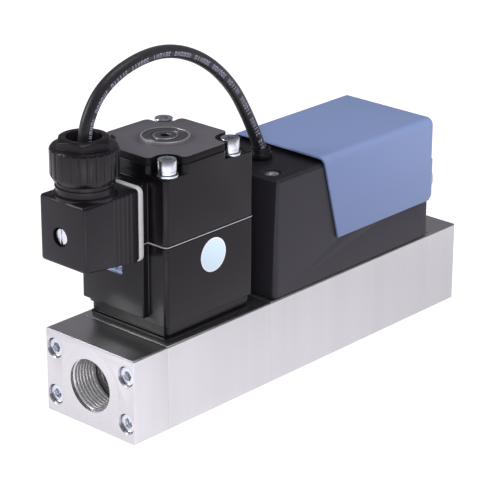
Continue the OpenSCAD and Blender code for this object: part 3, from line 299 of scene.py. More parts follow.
class Tone:
    """A node socket, so that arithmetic on it adds the Math nodes that work it out."""

    def __init__(self, graph, socket):
        self.graph = graph
        self.socket = socket

    def beside(self, label):
        """Another output of the same node"""
        return Tone(self.graph, self.socket.node.outputs[label])

    def maths(self, operation, *values):
        return self.graph.add("ShaderNodeMath", {"operation": operation}, dict(enumerate(values)))

    def __add__(self, other):
        return self.maths("ADD", self, other)

    def __radd__(self, other):
        return self.maths("ADD", other, self)

    def __sub__(self, other):
        return self.maths("SUBTRACT", self, other)

    def __rsub__(self, other):
        return self.maths("SUBTRACT", other, self)

    def __mul__(self, other):
        return self.maths("MULTIPLY", self, other)

    def __rmul__(self, other):
        return self.maths("MULTIPLY", other, self)

    def __truediv__(self, other):
        return self.maths("DIVIDE", self, other)

    def __rtruediv__(self, other):
        return self.maths("DIVIDE", other, self)

    def __gt__(self, other):
        return self.maths("GREATER_THAN", self, other)

    def __lt__(self, other):
        return self.maths("LESS_THAN", self, other)

    def __abs__(self):
        return self.maths("ABSOLUTE", self)

    def fraction(self):
        return self.maths("FRACT", self)

    def whole(self):
        return self.maths("FLOOR", self)

    def root(self):
        return self.maths("SQRT", self)

    def clamp(self):
        return self.graph.add("ShaderNodeClamp", {}, {0: self})

    def ripple(self, step):
        """A wave from 0 to 1 that comes back after each step"""
        return (self * (2 * math.pi / step)).maths("SINE") * 0.5 + 0.5

    def ramp(self, start, width):
        """From 0 at start to 1 at start + width, which may lie below it"""
        return ((self - start) / width).clamp()

    def away(self, other):
        """Distance from the axis that both values are measured from"""
        return (self * self + other * other).root()


class Graph:
    """A node tree and the one method that adds to it."""

    def __init__(self, tree):
        self.tree = tree

    def add(self, kind, settings=None, values=None, out=0):
        """Adds a node with its settings and its sockets' values or links, and gives one output"""
        node = self.tree.nodes.new(kind)
        for name, value in (settings or {}).items():
            setattr(node, name, value)
        for key, value in (values or {}).items():
            self.feed(node.inputs[key], value)
        return Tone(self, node.outputs[out]) if node.outputs else node

    def feed(self, socket, value):
        """Links or sets one input"""
        if isinstance(value, Tone):
            self.tree.links.new(value.socket, socket)
        elif socket.type == "RGBA" and len(value) == 3:
            socket.default_value = (*value, 1.0)
        else:
            socket.default_value = value

    def light_path(self, *labels):
        """Which kinds of ray are being traced"""
        first = self.add("ShaderNodeLightPath")
        return [first.beside(label) for label in labels]


def shade(colour, factor):
    """A colour made darker or lighter, at most white"""
    return tuple(min(1.0, c * factor) for c in colour)


class Surface(Graph):
    """A material, worked out from the piece's own coordinates."""

    def __init__(self, name):
        self.material = bpy.data.materials.new(name)
        self.material.use_nodes = True
        super().__init__(self.material.node_tree)
        self.tree.nodes.clear()
        self.place = self.add("ShaderNodeTexCoord", out="Object")

    def facing(self):
        """The object's own normal as three numbers"""
        return self.parts(self.add("ShaderNodeTexCoord", out="Normal"))

    def parts(self, vector):
        """The three numbers of a vector"""
        first = self.add("ShaderNodeSeparateXYZ", {}, {0: vector})
        return [first.beside(axis) for axis in "XYZ"]

    def vector(self, operation, *values):
        return self.add("ShaderNodeVectorMath", {"operation": operation}, dict(enumerate(values)))

    def mix(self, factor, a, b):
        return self.add("ShaderNodeMix", {"data_type": "RGBA"}, {0: factor, 6: a, 7: b}, out=2)

    def varied(self, by, colour, low, high):
        """One colour between two shades of itself"""
        return self.mix(by, shade(colour, low), shade(colour, high))

    def noise(self, scale, squeeze=(1, 1, 1), detail=2.0, roughness=0.55):
        """Noise on the piece's own coordinates, finer where squeeze is larger"""
        stretched = self.vector("MULTIPLY", self.place, squeeze)
        return self.add("ShaderNodeTexNoise", {"noise_dimensions": "3D"}, {
            "Vector": stretched, "Scale": scale, "Detail": detail, "Roughness": roughness})

    def bump(self, height, depth):
        """Relief of a depth in millimetres"""
        return self.add("ShaderNodeBump", {}, {
            "Height": height, "Distance": depth * MM, "Strength": 1.0})

    def finish(self, colour, roughness, normal=None, metallic=0.0, coat=0.0, specular=0.5,
               sheen=0.0):
        """Ends the material with its shader"""
        values = {"Base Color": colour, "Roughness": roughness, "Metallic": metallic,
                  "Specular IOR Level": specular, "Coat Weight": coat,
                  "Coat Roughness": 0.1, "Sheen Weight": sheen}
        if normal is not None:
            values["Normal"] = normal
        shader = self.add("ShaderNodeBsdfPrincipled", {}, values)
        self.add("ShaderNodeOutputMaterial", {}, {"Surface": shader})
        return self.material


def machined_block(colours):
    """Fine milled metal with turned rings round the ports"""
    s = Surface("machined_block")
    turned_radius, tool_step = 17.2 * MM, 0.22 * MM
    y, z = s.parts(s.place)[1:]
    radius = y.away(z - PORT_Z)
    on_end = abs(s.facing()[0]) > 0.8
    near_port = (radius < turned_radius) * on_end
    along = s.noise(1.0, (25, 2600, 2600))
    across = s.noise(1.0, (700, 700, 700), detail=3.0)
    grain = along * (1 - near_port) + radius.ripple(tool_step) * near_port
    bands = s.noise(1.0, (90, 14, 3))
    rough = 0.25 + 0.08 * grain + 0.04 * across - 0.06 * near_port
    normal = s.bump(grain * 0.7 + across * 0.3, 0.0012)
    return s.finish(s.varied(bands, colours.block, 0.93, 1.05), rough, normal, metallic=1.0)


def cut_thread(colours):
    """Freshly cut thread flanks, duller than the milled faces, made lighter as painted light in the
    bore
    """
    s = Surface("cut_thread")
    grain = s.noise(900.0)
    # Painted light: the block's colour made 1.3 times lighter, so the threads in the shaded bore look
    # lit
    tint = s.varied(grain, shade(colours.block, 1.3), 0.92, 1.05)
    return s.finish(tint, 0.24 + 0.06 * grain, s.bump(grain, 0.0008), metallic=0.55)


def bright_steel(colours):
    """Plated screws and washers"""
    s = Surface("bright_steel")
    grain = s.noise(1100.0)
    tint = s.varied(s.noise(120.0), colours.steel, 0.88, 1.08)
    return s.finish(tint, 0.2 + 0.1 * grain, s.bump(grain, 0.0006), metallic=1.0)


def turned_metal(name, colour, roughness, scale=(2600, 2600, 260), dark=0.9, light=1.08):
    """Steel, brass, nickel or tin with the marks of the tool"""
    s = Surface(name)
    grain = s.noise(1.0, scale)
    tint = s.varied(grain, colour, dark, light)
    return s.finish(tint, roughness + 0.1 * grain, s.bump(grain, 0.0006), metallic=1.0)


def ground_steel():
    """Dark ring and screw on the plate, with painted highlights on their rims"""
    s = Surface("ground_steel")
    x, y = s.parts(s.place)[:2]
    radius = (x - VALVE_X).away(y)
    ring_rim_highlight = abs(radius - RING_RIM_HIGHLIGHT * MM) < 0.45 * MM
    screw_rim_highlight = abs(radius - SCREW_RIM_HIGHLIGHT * MM) < 0.25 * MM
    grain = s.noise(1.0, (3000, 3000, 300))
    dark = s.mix(grain, (0.24, 0.235, 0.25), (0.29, 0.285, 0.30))
    # Painted highlights: near-white bands of colour on the rims of the ring and the screw
    tint = s.mix((ring_rim_highlight + screw_rim_highlight).clamp(), dark, (0.95, 0.94, 0.97))
    return s.finish(tint, 0.34 + 0.1 * grain, s.bump(grain, 0.0006), metallic=1.0)


def moulded_black(name, colour, roughness, grain_size=0.35, depth=0.012, specular=0.5):
    """Moulded plastic with the fine grain of its tool"""
    s = Surface(name)
    grain = s.noise(1 / (grain_size * MM), detail=3.0, roughness=0.6)
    flow = s.noise(45.0)
    rough = roughness + 0.07 * grain + 0.05 * flow
    return s.finish(s.varied(flow, colour, 0.85, 1.2), rough, s.bump(grain, depth), specular=specular)


def parting_line(colours):
    """Seal between the black shells, with a thin pale stripe of painted highlight along it, wider on
    the plug's side
    """
    s = Surface("parting_line")
    low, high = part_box("coil_parting_seal")
    # Painted highlight: a pale stripe along the seam, wider on faces that look towards -X
    half = (0.2 + 0.15 * (s.facing()[0] < -0.5)) * MM
    seam_highlight = abs(s.parts(s.place)[2] - (low.z + high.z) / 2) < half
    haze = s.noise(90.0)
    tint = s.mix(seam_highlight, colours.coil, s.varied(haze, colours.parting, 0.8, 1.1))
    return s.finish(tint, 0.34 + 0.06 * haze)


def coated_plate(colours):
    """Notched plate, grey on top, with painted shade that makes its sides black"""
    s = Surface("coated_plate")
    grain = s.noise(1800.0, detail=4.0, roughness=0.65)
    top = s.mix(grain, (0.092, 0.086, 0.101), (0.122, 0.115, 0.131))
    # Painted shade: every face that does not look up takes the coil's black
    tint = s.mix(s.facing()[2] > 0.6, colours.coil, top)
    return s.finish(tint, 0.48 + 0.14 * grain, s.bump(grain, 0.015), specular=0.2)


def textured_coat(name, colour, roughness, grain_size, depth, spread, unshaded_tops=1.0, specular=0.5):
    """Powder coat with a fine orange peel; a top share under 1 paints shade on the faces that look up
    """
    s = Surface(name)
    peel = s.noise(1 / (grain_size * MM))
    fine = s.noise(3 / (grain_size * MM), detail=3.0)
    tint = s.varied(fine, colour, 1 - spread, 1 + spread)
    # Painted shade: faces that look up darken towards 0.4 of the colour
    tint = s.mix((s.facing()[2] > 0.8) * (1 - unshaded_tops), tint, shade(colour, 0.4))
    normal = s.bump(peel * 0.7 + fine * 0.3, depth)
    return s.finish(tint, roughness + 0.1 * fine, normal, specular=specular)


def plain_rubber(name, colour, roughness=0.62):
    """Seals and gaskets"""
    s = Surface(name)
    grain = s.noise(2200.0, detail=3.0)
    return s.finish(s.varied(grain, colour, 0.88, 1.12), roughness + 0.1 * grain, s.bump(grain, 0.01))


def wound_copper():
    """Enamelled wire, wound in fine layers"""
    s = Surface("wound_copper")
    wire = 0.45 * MM
    turns = s.parts(s.place)[2].ripple(wire)
    tint = s.mix(turns, (0.20, 0.075, 0.03), (0.62, 0.27, 0.12))
    return s.finish(tint, 0.32, s.bump(turns, 0.1), metallic=0.8)


def sintered_bronze():
    """Filter pressed from bronze grains"""
    s = Surface("sintered_bronze")
    cells = s.add("ShaderNodeTexVoronoi", {}, {"Vector": s.place, "Scale": 2600.0})
    tint = s.mix(cells, (0.58, 0.42, 0.25), (0.18, 0.12, 0.07))
    return s.finish(tint, 0.55, s.bump(1 - cells, 0.12), metallic=0.9)


def circuit_green():
    """Solder mask with the faint lines of its tracks"""
    s = Surface("circuit_green")
    across = s.parts(s.place)[0]
    tracks = ((across * 420).fraction() > 0.72) * (s.noise(160.0, (1, 6, 1), detail=3.0) > 0.5)
    tint = s.mix(tracks, (0.015, 0.11, 0.045), (0.035, 0.20, 0.08))
    return s.finish(tint, 0.28, s.bump(tracks, 0.03), coat=0.3)


def sticker_film(colours):
    """Round film, pale blue with a paler rim"""
    s = Surface("sticker_film")
    rim = 0.6 * MM
    low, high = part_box("round_sticker")
    middle = (low + high) / 2
    x, z = s.parts(s.place)[::2]
    out = (x - middle.x).away(z - middle.z)
    fine = s.noise(900.0)
    tint = s.varied(fine, colours.sticker, 0.97, 1.03)
    tint = s.mix(out > (high.x - low.x) / 2 - rim, tint, (0.86, 0.87, 0.96))
    return s.finish(tint, 0.3 + 0.05 * fine, s.bump(fine, 0.003))


def label_film(colours):
    """Pale label with rows of small dark squares"""
    s = Surface("label_film")
    wide, high, row_step = 0.55 * MM, 0.45 * MM, 2.7 * MM
    cells = s.vector("FLOOR", s.vector("MULTIPLY", s.place, (0, 1 / wide, 1 / high)))
    pick = s.add("ShaderNodeTexWhiteNoise", {"noise_dimensions": "3D"}, {"Vector": cells})
    row = (s.parts(s.place)[2] / row_step).fraction()
    squares = (pick > 0.45) * (row > 0.34)
    tint = s.mix(squares, shade(colours.label, 0.95), (0.06, 0.08, 0.16))
    return s.finish(tint, 0.32 + 0.05 * s.noise(900.0))


def cable_jacket():
    """Smooth jacket with a row of generic marks; it reads the lead's own UV map"""
    s = Surface("cable_jacket")
    girth, row, pitch, off_centre = 18.85, 0.778, 1.9, 0.42
    along, around = s.parts(s.add("ShaderNodeTexCoord", out="UV"))[:2]
    cell = along / (pitch * MM)
    across = abs((cell.fraction() - off_centre) * pitch)
    height = abs((around - row) * girth)
    pick = s.add("ShaderNodeTexWhiteNoise", {"noise_dimensions": "1D"}, {"W": cell.whole()})
    in_row = height < 1.0
    ring = in_row * (across < 0.66) * (1 - (height < 0.62) * (across < 0.34))
    single = in_row * (across < 0.2)
    double = in_row * (abs(across - 0.42) < 0.17)
    mark = ring * (pick < 0.45) + single * (pick > 0.45) * (pick < 0.7) + double * (pick > 0.7)
    words = (cell / 7).fraction() < 0.8
    haze = s.noise(260.0)
    fine = s.noise(2400.0)
    jacket = s.mix(haze, (0.010, 0.009, 0.011), (0.018, 0.016, 0.021))
    tint = s.mix(mark * words * 0.9, jacket, (0.36, 0.35, 0.48))
    return s.finish(tint, 0.33 + 0.06 * fine + 0.05 * haze, s.bump(fine, 0.002), sheen=0.1)


def make_surfaces(colours):
    """One material for each slot of the record, and two for finishes inside a slot"""
    return {
        "block_metal": machined_block(colours),
        "screw_steel": bright_steel(colours),
        "valve_steel": turned_metal("turned_steel", shade(colours.steel, 0.4), 0.42,
                                    (3000, 3000, 300), 0.92, 1.05),
        "black_seal": plain_rubber("black_seal", (0.016, 0.016, 0.017)),
        "valve_seal": plain_rubber("valve_seal", (0.24, 0.06, 0.05)),
        "pale_gasket": plain_rubber("pale_gasket", (0.90, 0.885, 0.90), 0.5),
        "filter_bronze": sintered_bronze(),
        "copper_wire": wound_copper(),
        "brass_turned": turned_metal("brass_turned", (0.72, 0.52, 0.24), 0.24),
        "terminal_tin": turned_metal("terminal_tin", (0.66, 0.66, 0.66), 0.3),
        "connector_nickel": turned_metal("connector_nickel", (0.68, 0.67, 0.64), 0.2),
        "bobbin_plastic": moulded_black("bobbin_plastic", (0.62, 0.58, 0.50), 0.45),
        "coil_plastic": moulded_black("coil_plastic", colours.coil, 0.18, depth=0.003,
                                      specular=0.27),
        "parting_plastic": parting_line(colours),
        "plate_grey": coated_plate(colours),
        "cut_thread": cut_thread(colours),
        "ground_steel": ground_steel(),
        "plug_plastic": moulded_black("plug_plastic", colours.plug, 0.22, 0.3, 0.003, 0.31),
        "insert_plastic": moulded_black("insert_plastic", (0.06, 0.06, 0.07), 0.5),
        # The housing's faces that look up get the full painted shade
        "housing_grey": textured_coat("housing_grey", colours.housing, 0.42, 0.45, 0.02, 0.08,
                                      unshaded_tops=0.0, specular=0.44),
        "cover_blue": textured_coat("cover_blue", colours.cover, 0.4, 0.6, 0.012, 0.03),
        "board_green": circuit_green(),
        "sticker_blue": sticker_film(colours),
        "cable_jacket": cable_jacket(),
    }


SURFACES = {}


def surface(node):
    """The material of the node's slot"""
    return SURFACES[SLOT_OF[node]]


def body_of(node):
    """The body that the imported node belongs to"""
    return frame["nodes"][node]["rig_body"]


def linked(name, data):
    """A new object of the data, linked to the scene"""
    thing = bpy.data.objects.new(name, data)
    bpy.context.scene.collection.objects.link(thing)
    return thing


def place_piece(name, mesh, node, replaces=True):
    """Links a finished mesh, rides it on the node's body and gives it the node's slot"""
    piece = linked(name, mesh)
    if not mesh.materials:
        mesh.materials.append(surface(node))
    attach(piece, body_of(node))
    if replaces:
        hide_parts(node)
    return piece


def applied(thing, name):
    """The object's mesh with its modifiers applied"""
    bpy.context.view_layer.update()
    evaluated = thing.evaluated_get(bpy.context.evaluated_depsgraph_get())
    mesh = bpy.data.meshes.new_from_object(evaluated)
    mesh.name = name
    return mesh


def plain_mesh(work, name):
    """Ends the working mesh and returns it as a mesh of its own"""
    mesh = bpy.data.meshes.new(name)
    work.to_mesh(mesh)
    work.free()
    return mesh


def finished_mesh(work, name, place=None):
    """Turns the working mesh into a smooth one with sharp edges and outward faces"""
    if place is not None:
        work.transform(place)
    bmesh.ops.recalc_face_normals(work, faces=work.faces)
    mesh = plain_mesh(work, name)
    mesh.shade_smooth()
    mesh.set_sharp_from_angle(angle=CREASE_FROM)
    return mesh


def merged_copy(node, name):
    """A welded copy of a CAD node's mesh, flat faces joined"""
    source = frame["nodes"][node].data
    mesh = bpy.data.meshes.new(name)
    mesh.from_pydata([v.co for v in source.vertices], [], [tuple(p.vertices) for p in source.polygons])
    work = bmesh.new()
    work.from_mesh(mesh)
    bmesh.ops.remove_doubles(work, verts=work.verts, dist=0.002 * MM)
    bmesh.ops.dissolve_limit(work, angle_limit=math.radians(0.5), verts=work.verts, edges=work.edges)
    for face in work.faces:
        face.smooth = True
    work.to_mesh(mesh)
    work.free()
    return mesh


def rounded_piece(node, width, segments=2):
    """A copy of a CAD node whose sharp edges are rounded by width, kept inside the node's box"""
    name = node + "_rounded"
    seed = linked(name + "_seed", merged_copy(node, name + "_seed"))
    bevel = seed.modifiers.new("Rounded edges", "BEVEL")
    bevel.width = width
    bevel.segments = segments
    bevel.limit_method = "ANGLE"
    bevel.angle_limit = ROUND_FROM
    bevel.use_clamp_overlap = False
    bevel.miter_outer = "MITER_ARC"
    mesh = applied(seed, name)
    bpy.data.objects.remove(seed)
    low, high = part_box(node)
    for vertex in mesh.vertices:
        vertex.co = [min(max(vertex.co[k], low[k]), high[k]) for k in range(3)]
    flatten_planes(mesh)
    return place_piece(name, mesh, node)


def flatten_planes(mesh):
    """Shades wide and coplanar faces flat, so that only the rounded edges blend"""
    wide_area = 40 * MM * MM
    work = bmesh.new()
    work.from_mesh(mesh)
    for face in work.faces:
        beside = [edge.calc_face_angle(1.0) for edge in face.edges if len(edge.link_faces) == 2]
        wide = len(face.verts) > 4 or face.calc_area() > wide_area
        face.smooth = not (wide or min(beside, default=1.0) < math.radians(0.4))
    work.to_mesh(mesh)
    work.free()
    mesh.set_sharp_from_angle(angle=ROUNDED_CREASE_FROM)


def join_rings(work, lower, upper):
    """Four-sided faces between two closed rings of vertices"""
    for i in range(len(lower)):
        j = (i + 1) % len(lower)
        work.faces.new((lower[i], lower[j], upper[j], upper[i]))


def round_angles(sides):
    """The angles of a whole turn in equal steps"""
    return [2 * math.pi * i / sides for i in range(sides)]


def hexagon_radius(flats, angle):
    """Distance from the middle of a hexagon to its side, in the direction of the angle"""
    return flats / 2 / math.cos((angle + math.pi / 6) % (math.pi / 3) - math.pi / 6)


def lathe(name, rings, sides, centre=(0, 0, 0)):
    """A closed turned mesh along Z. A ring is (radius, height) or (across flats, height, "hex")."""
    work = bmesh.new()
    loops = []
    for size, height, *shape in rings:
        loop = []
        for a in round_angles(sides):
            r = hexagon_radius(size, a) if shape else size
            loop.append(work.verts.new((centre[0] + r * math.cos(a), centre[1] + r * math.sin(a),
                                        centre[2] + height)))
        loops.append(loop)
    for lower, upper in zip(loops, loops[1:]):
        join_rings(work, lower, upper)
    work.faces.new(list(reversed(loops[0])))
    work.faces.new(loops[-1])
    return finished_mesh(work, name)


def turned_ring(name, section, sides, place=None):
    """Closed section of (radius, height) turned about Z, then moved by the matrix place"""
    work = bmesh.new()
    loops = [[work.verts.new((r * math.cos(a), r * math.sin(a), z)) for a in round_angles(sides)]
             for r, z in section]
    for lower, upper in zip(loops, loops[1:] + loops[:1]):
        join_rings(work, lower, upper)
    return finished_mesh(work, name, place)


# Socket screw: radius of shank and head, height of the head, key across flats, chamfer, faces round it
Screw = namedtuple("Screw", "shank head height key chamfer sides")


def socket_screw_mesh(name, screw, length):
    """Socket screw with its head's underside at 0 and its shank downwards"""
    depth = min(2.4 * MM, screw.height * 0.7)
    foot, lip = 0.5 * MM, 0.15 * MM
    return lathe(name, [
        (screw.shank * 0.8, -length), (screw.shank, foot - length), (screw.shank, 0),
        (screw.head - lip, 0), (screw.head, lip), (screw.head, screw.height - screw.chamfer),
        (screw.head - screw.chamfer * 0.4, screw.height - screw.chamfer * 0.25),
        (screw.head - screw.chamfer, screw.height),
        (screw.key + 0.35 * MM, screw.height, "hex"), (screw.key, screw.height - 0.2 * MM, "hex"),
        (screw.key, screw.height - depth, "hex"),
        (screw.key * 0.4, screw.height - depth - foot, "hex")], screw.sides)


def flat_washer_mesh(name, outer, inner, thickness, sides):
    """Flat ring from z = 0 up, with light edges"""
    edge = 0.15 * MM
    return turned_ring(name, [(inner, 0), (outer - edge, 0), (outer, edge),
                              (outer, thickness - edge), (outer - edge, thickness),
                              (inner, thickness)], sides)


def spring_washer_mesh(name, outer, inner, thickness, sides):
    """Split ring whose ends stand a little apart in height"""
    gap, split_at = math.radians(9), math.radians(-45)
    rise, edge = 0.25 * MM, 0.1 * MM
    work = bmesh.new()
    rows = []
    for i in range(sides + 1):
        t = i / sides
        a = split_at + gap / 2 + (2 * math.pi - gap) * t
        z = rise * (t - 0.5)
        low_z, high_z = max(0.0, z), thickness + min(0.0, z)
        rows.append([work.verts.new((r * math.cos(a), r * math.sin(a), h)) for r, h in (
            (inner, low_z), (outer - edge, low_z), (outer, low_z + edge),
            (outer, high_z - edge), (outer - edge, high_z), (inner, high_z))])
    for row, following in zip(rows, rows[1:]):
        join_rings(work, row, following)
    work.faces.new(rows[0])
    work.faces.new(list(reversed(rows[-1])))
    return finished_mesh(work, name)


class Grower(Graph):
    """A Geometry Nodes tree with named inputs that ends in Realize Instances and Set Material"""

    def __init__(self, name, inputs):
        super().__init__(bpy.data.node_groups.new(name, "GeometryNodeTree"))
        self.tree.is_modifier = True
        sockets = self.tree.interface
        sockets.new_socket("Geometry", in_out="INPUT", socket_type="NodeSocketGeometry")
        sockets.new_socket("Geometry", in_out="OUTPUT", socket_type="NodeSocketGeometry")
        for label, kind in inputs:
            sockets.new_socket(label, in_out="INPUT", socket_type="NodeSocket" + kind)
        self.source = self.add("NodeGroupInput")

    def given(self, label):
        """One of the tree's named inputs"""
        return self.source.beside(label)

    def close(self, geometry):
        """Makes the copies real, paints them and ends the tree"""
        real = self.add("GeometryNodeRealizeInstances", {}, {0: geometry})
        painted = self.add("GeometryNodeSetMaterial", {}, {
            "Geometry": real, "Material": self.given("Finish")})
        self.add("NodeGroupOutput", {}, {0: painted})
        return self.tree


def grow(tree, name, points, values):
    """Runs a tree on a mesh of points and returns the result as a plain mesh"""
    base = bpy.data.meshes.new("places")
    base.from_pydata(points, [], [])
    seed = linked(name + "_seed", base)
    modifier = seed.modifiers.new("Grow", "NODES")
    modifier.node_group = tree
    for item in tree.interface.items_tree:
        if item.in_out == "INPUT" and item.name in values:
            modifier[item.identifier] = values[item.name]
    mesh = applied(seed, name)
    seed.modifiers.remove(modifier)
    bpy.data.objects.remove(seed)
    return mesh


def fastener_tree():
    """Fasteners at points, each turned about its own axis by a seeded amount"""
    g = Grower("fasteners_at_points", [
        ("Fastener", "Object"), ("Direction", "Rotation"), ("Size", "Float"), ("Turn", "Float"),
        ("Seed", "Int"), ("Finish", "Material")])
    shape = g.add("GeometryNodeObjectInfo", {"transform_space": "ORIGINAL"},
                  {"Object": g.given("Fastener")}, out="Geometry")
    angle = g.add("FunctionNodeRandomValue", {"data_type": "FLOAT"},
                  {2: 0.0, 3: g.given("Turn"), "Seed": g.given("Seed")}, out=1)
    about = g.add("ShaderNodeCombineXYZ", {}, {"Z": angle})
    spin = g.add("FunctionNodeEulerToRotation", {}, {0: about})
    turned = g.add("FunctionNodeRotateRotation", {"rotation_space": "LOCAL"},
                   {0: g.given("Direction"), 1: spin})
    placed = g.add("GeometryNodeInstanceOnPoints", {}, {
        "Points": g.given("Geometry"), "Instance": shape, "Rotation": turned,
        "Scale": g.given("Size")})
    return g.close(placed)


def thread_tree():
    """Thread ridge swept along a helix"""
    g = Grower("thread_ridge", [
        ("Radius", "Float"), ("Pitch", "Float"), ("Turns", "Float"), ("Ridge", "Float"),
        ("Foot", "Float"), ("Crest", "Float"), ("Start", "Vector"), ("Tilt", "Rotation"),
        ("Finish", "Material")])
    helix = g.add("GeometryNodeCurveSpiral", {}, {
        "Resolution": 72, "Rotations": g.given("Turns"), "Start Radius": g.given("Radius"),
        "End Radius": g.given("Radius"), "Height": g.given("Turns") * g.given("Pitch")})
    upright = g.add("GeometryNodeSetCurveNormal", {"mode": "Z_UP"}, {0: helix})
    section = g.add("GeometryNodeCurvePrimitiveQuadrilateral", {"mode": "TRAPEZOID"}, {
        "Height": g.given("Ridge"), "Bottom Width": g.given("Foot"), "Top Width": g.given("Crest"),
        "Offset": 0.0})
    swept = g.add("GeometryNodeCurveToMesh", {}, {
        "Curve": upright, "Profile Curve": section, "Fill Caps": True})
    placed = g.add("GeometryNodeTransform", {}, {
        "Geometry": swept, "Translation": g.given("Start"), "Rotation": g.given("Tilt")})
    return g.close(placed)


def corner_places(node, inset, along, level):
    """The four corners of a node's box, moved in by inset, at a level on the axis along"""
    low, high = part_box(node)
    first, second = [axis for axis in range(3) if axis != along]
    places = []
    for a in (low[first] + inset, high[first] - inset):
        for b in (low[second] + inset, high[second] - inset):
            point = Vector((0, 0, 0))
            point[first], point[second], point[along] = a, b, level
            places.append(point)
    return places


def fasteners(tree, node, template, places, direction, turn, seed):
    """One mesh of like fasteners, in place of the node that holds them"""
    maker = linked(node + "_template", template)
    mesh = grow(tree, node + "_set", places, {
        "Fastener": maker, "Direction": direction, "Size": 1.0, "Turn": turn, "Seed": seed,
        "Finish": surface(node)})
    bpy.data.objects.remove(maker)
    return place_piece(node + "_set", mesh, node)


class FLOW_OT_surfaces(bpy.types.Operator):
    """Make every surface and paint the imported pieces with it"""

    bl_idname = "flow.surfaces"
    bl_label = "Surfaces"

    def execute(self, context):
        SURFACES.update(make_surfaces(context.scene.flow_colours))
        for node, piece in frame["nodes"].items():
            for slot in piece.material_slots:
                slot.material = surface(node)
        return {"FINISHED"}


class FLOW_OT_block(bpy.types.Operator):
    """Round the edges of the flanges and the two block bars"""

    bl_idname = "flow.block"
    bl_label = "Block"

    def execute(self, context):
        for node in ("outlet_flange", "inlet_flange", "valve_block", "sensor_block"):
            rounded_piece(node, context.scene.flow_edges.block)
        return {"FINISHED"}


class FLOW_OT_threads(bpy.types.Operator):
    """Cut the thread of each port and turn the face round it"""

    bl_idname = "flow.threads"
    bl_label = "Threads"

    def execute(self, context):
        sizes = context.scene.flow_fasteners
        tree = thread_tree()
        root = (PORT_ROOT + RIDGE_SINK) * MM
        section = [(r * MM, depth * MM) for r, depth in PORT_FACE]
        for node, face_x, inwards, tilt in (("outlet_flange", OUTLET_X, 1, TOWARDS_INLET),
                                            ("inlet_flange", INLET_X, -1, TOWARDS_OUTLET)):
            start = (face_x + inwards * THREAD_START * MM, 0.0, PORT_Z)
            mesh = grow(tree, node + "_thread", [], {
                "Radius": (root + sizes.port_crest) / 2, "Pitch": sizes.port_pitch,
                "Turns": THREAD_TURNS, "Ridge": root - sizes.port_crest,
                "Foot": sizes.port_pitch * THREAD_FOOT, "Crest": sizes.port_pitch * THREAD_CREST,
                "Start": start, "Tilt": tilt, "Finish": SURFACES["cut_thread"]})
            place_piece(node + "_thread", mesh, node, replaces=False)
            place = Matrix.Translation((face_x, 0.0, PORT_Z)) @ Euler(tilt).to_matrix().to_4x4()
            mesh = turned_ring(node + "_face", section, TURNED_SIDES, place)
            place_piece(node + "_face", mesh, node, replaces=False)
        return {"FINISHED"}


class FLOW_OT_screws(bpy.types.Operator):
    """Set the screws"""

    bl_idname = "flow.screws"
    bl_label = "Screws"

    def execute(self, context):
        sizes = context.scene.flow_fasteners
        tree = fastener_tree()
        large = Screw(shank=2.45 * MM, head=4.25 * MM, height=5.0 * MM, key=4.0 * MM,
                      chamfer=sizes.chamfer, sides=sizes.head_sides)
        medium = Screw(shank=1.95 * MM, head=3.7 * MM, height=2.5 * MM, key=2.5 * MM,
                       chamfer=0.35 * MM, sides=sizes.head_sides)
        small = Screw(shank=1.45 * MM, head=2.75 * MM, height=2.0 * MM, key=2.0 * MM,
                      chamfer=0.3 * MM, sides=24)
        for node, screw, direction, draw in (
                ("tie_screws", large, TOWARDS_OUTLET, 0), ("inlet_screws", large, TOWARDS_INLET, 1),
                ("coil_screws", large, UP, 2), ("housing_screws", medium, UP, 3),
                ("sensor_screws", small, UP, 4), ("board_screws", small, UP, 4)):
            self.screws(tree, node, screw, direction, sizes.turn_seed + draw)
        return {"FINISHED"}

    def screws(self, tree, node, screw, direction, seed):
        """Four like screws at the corners of their node's box"""
        low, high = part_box(node)
        along = 2 if direction == UP else 0
        level = high[along] - screw.height
        if direction == TOWARDS_OUTLET:
            level = low[along] + screw.height
        template = socket_screw_mesh(node + "_one", screw, high[along] - low[along] - screw.height)
        places = corner_places(node, screw.head, along, level)
        fasteners(tree, node, template, places, direction, KEY_TURN, seed)


class FLOW_OT_washers(bpy.types.Operator):
    """Set the spring washers and flat washers under the coil's screws"""

    bl_idname = "flow.washers"
    bl_label = "Washers"

    def execute(self, context):
        sizes = context.scene.flow_fasteners
        tree = fastener_tree()
        for node, make, outer, inner in (
                ("coil_spring_washers", spring_washer_mesh, 4.1 * MM, 2.6 * MM),
                ("coil_flat_washers", flat_washer_mesh, 4.9 * MM, 2.65 * MM)):
            low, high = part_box(node)
            template = make(node + "_one", outer, inner, high.z - low.z, sizes.head_sides)
            places = corner_places(node, outer, 2, low.z)
            fasteners(tree, node, template, places, UP, 0.0, sizes.turn_seed)
        return {"FINISHED"}


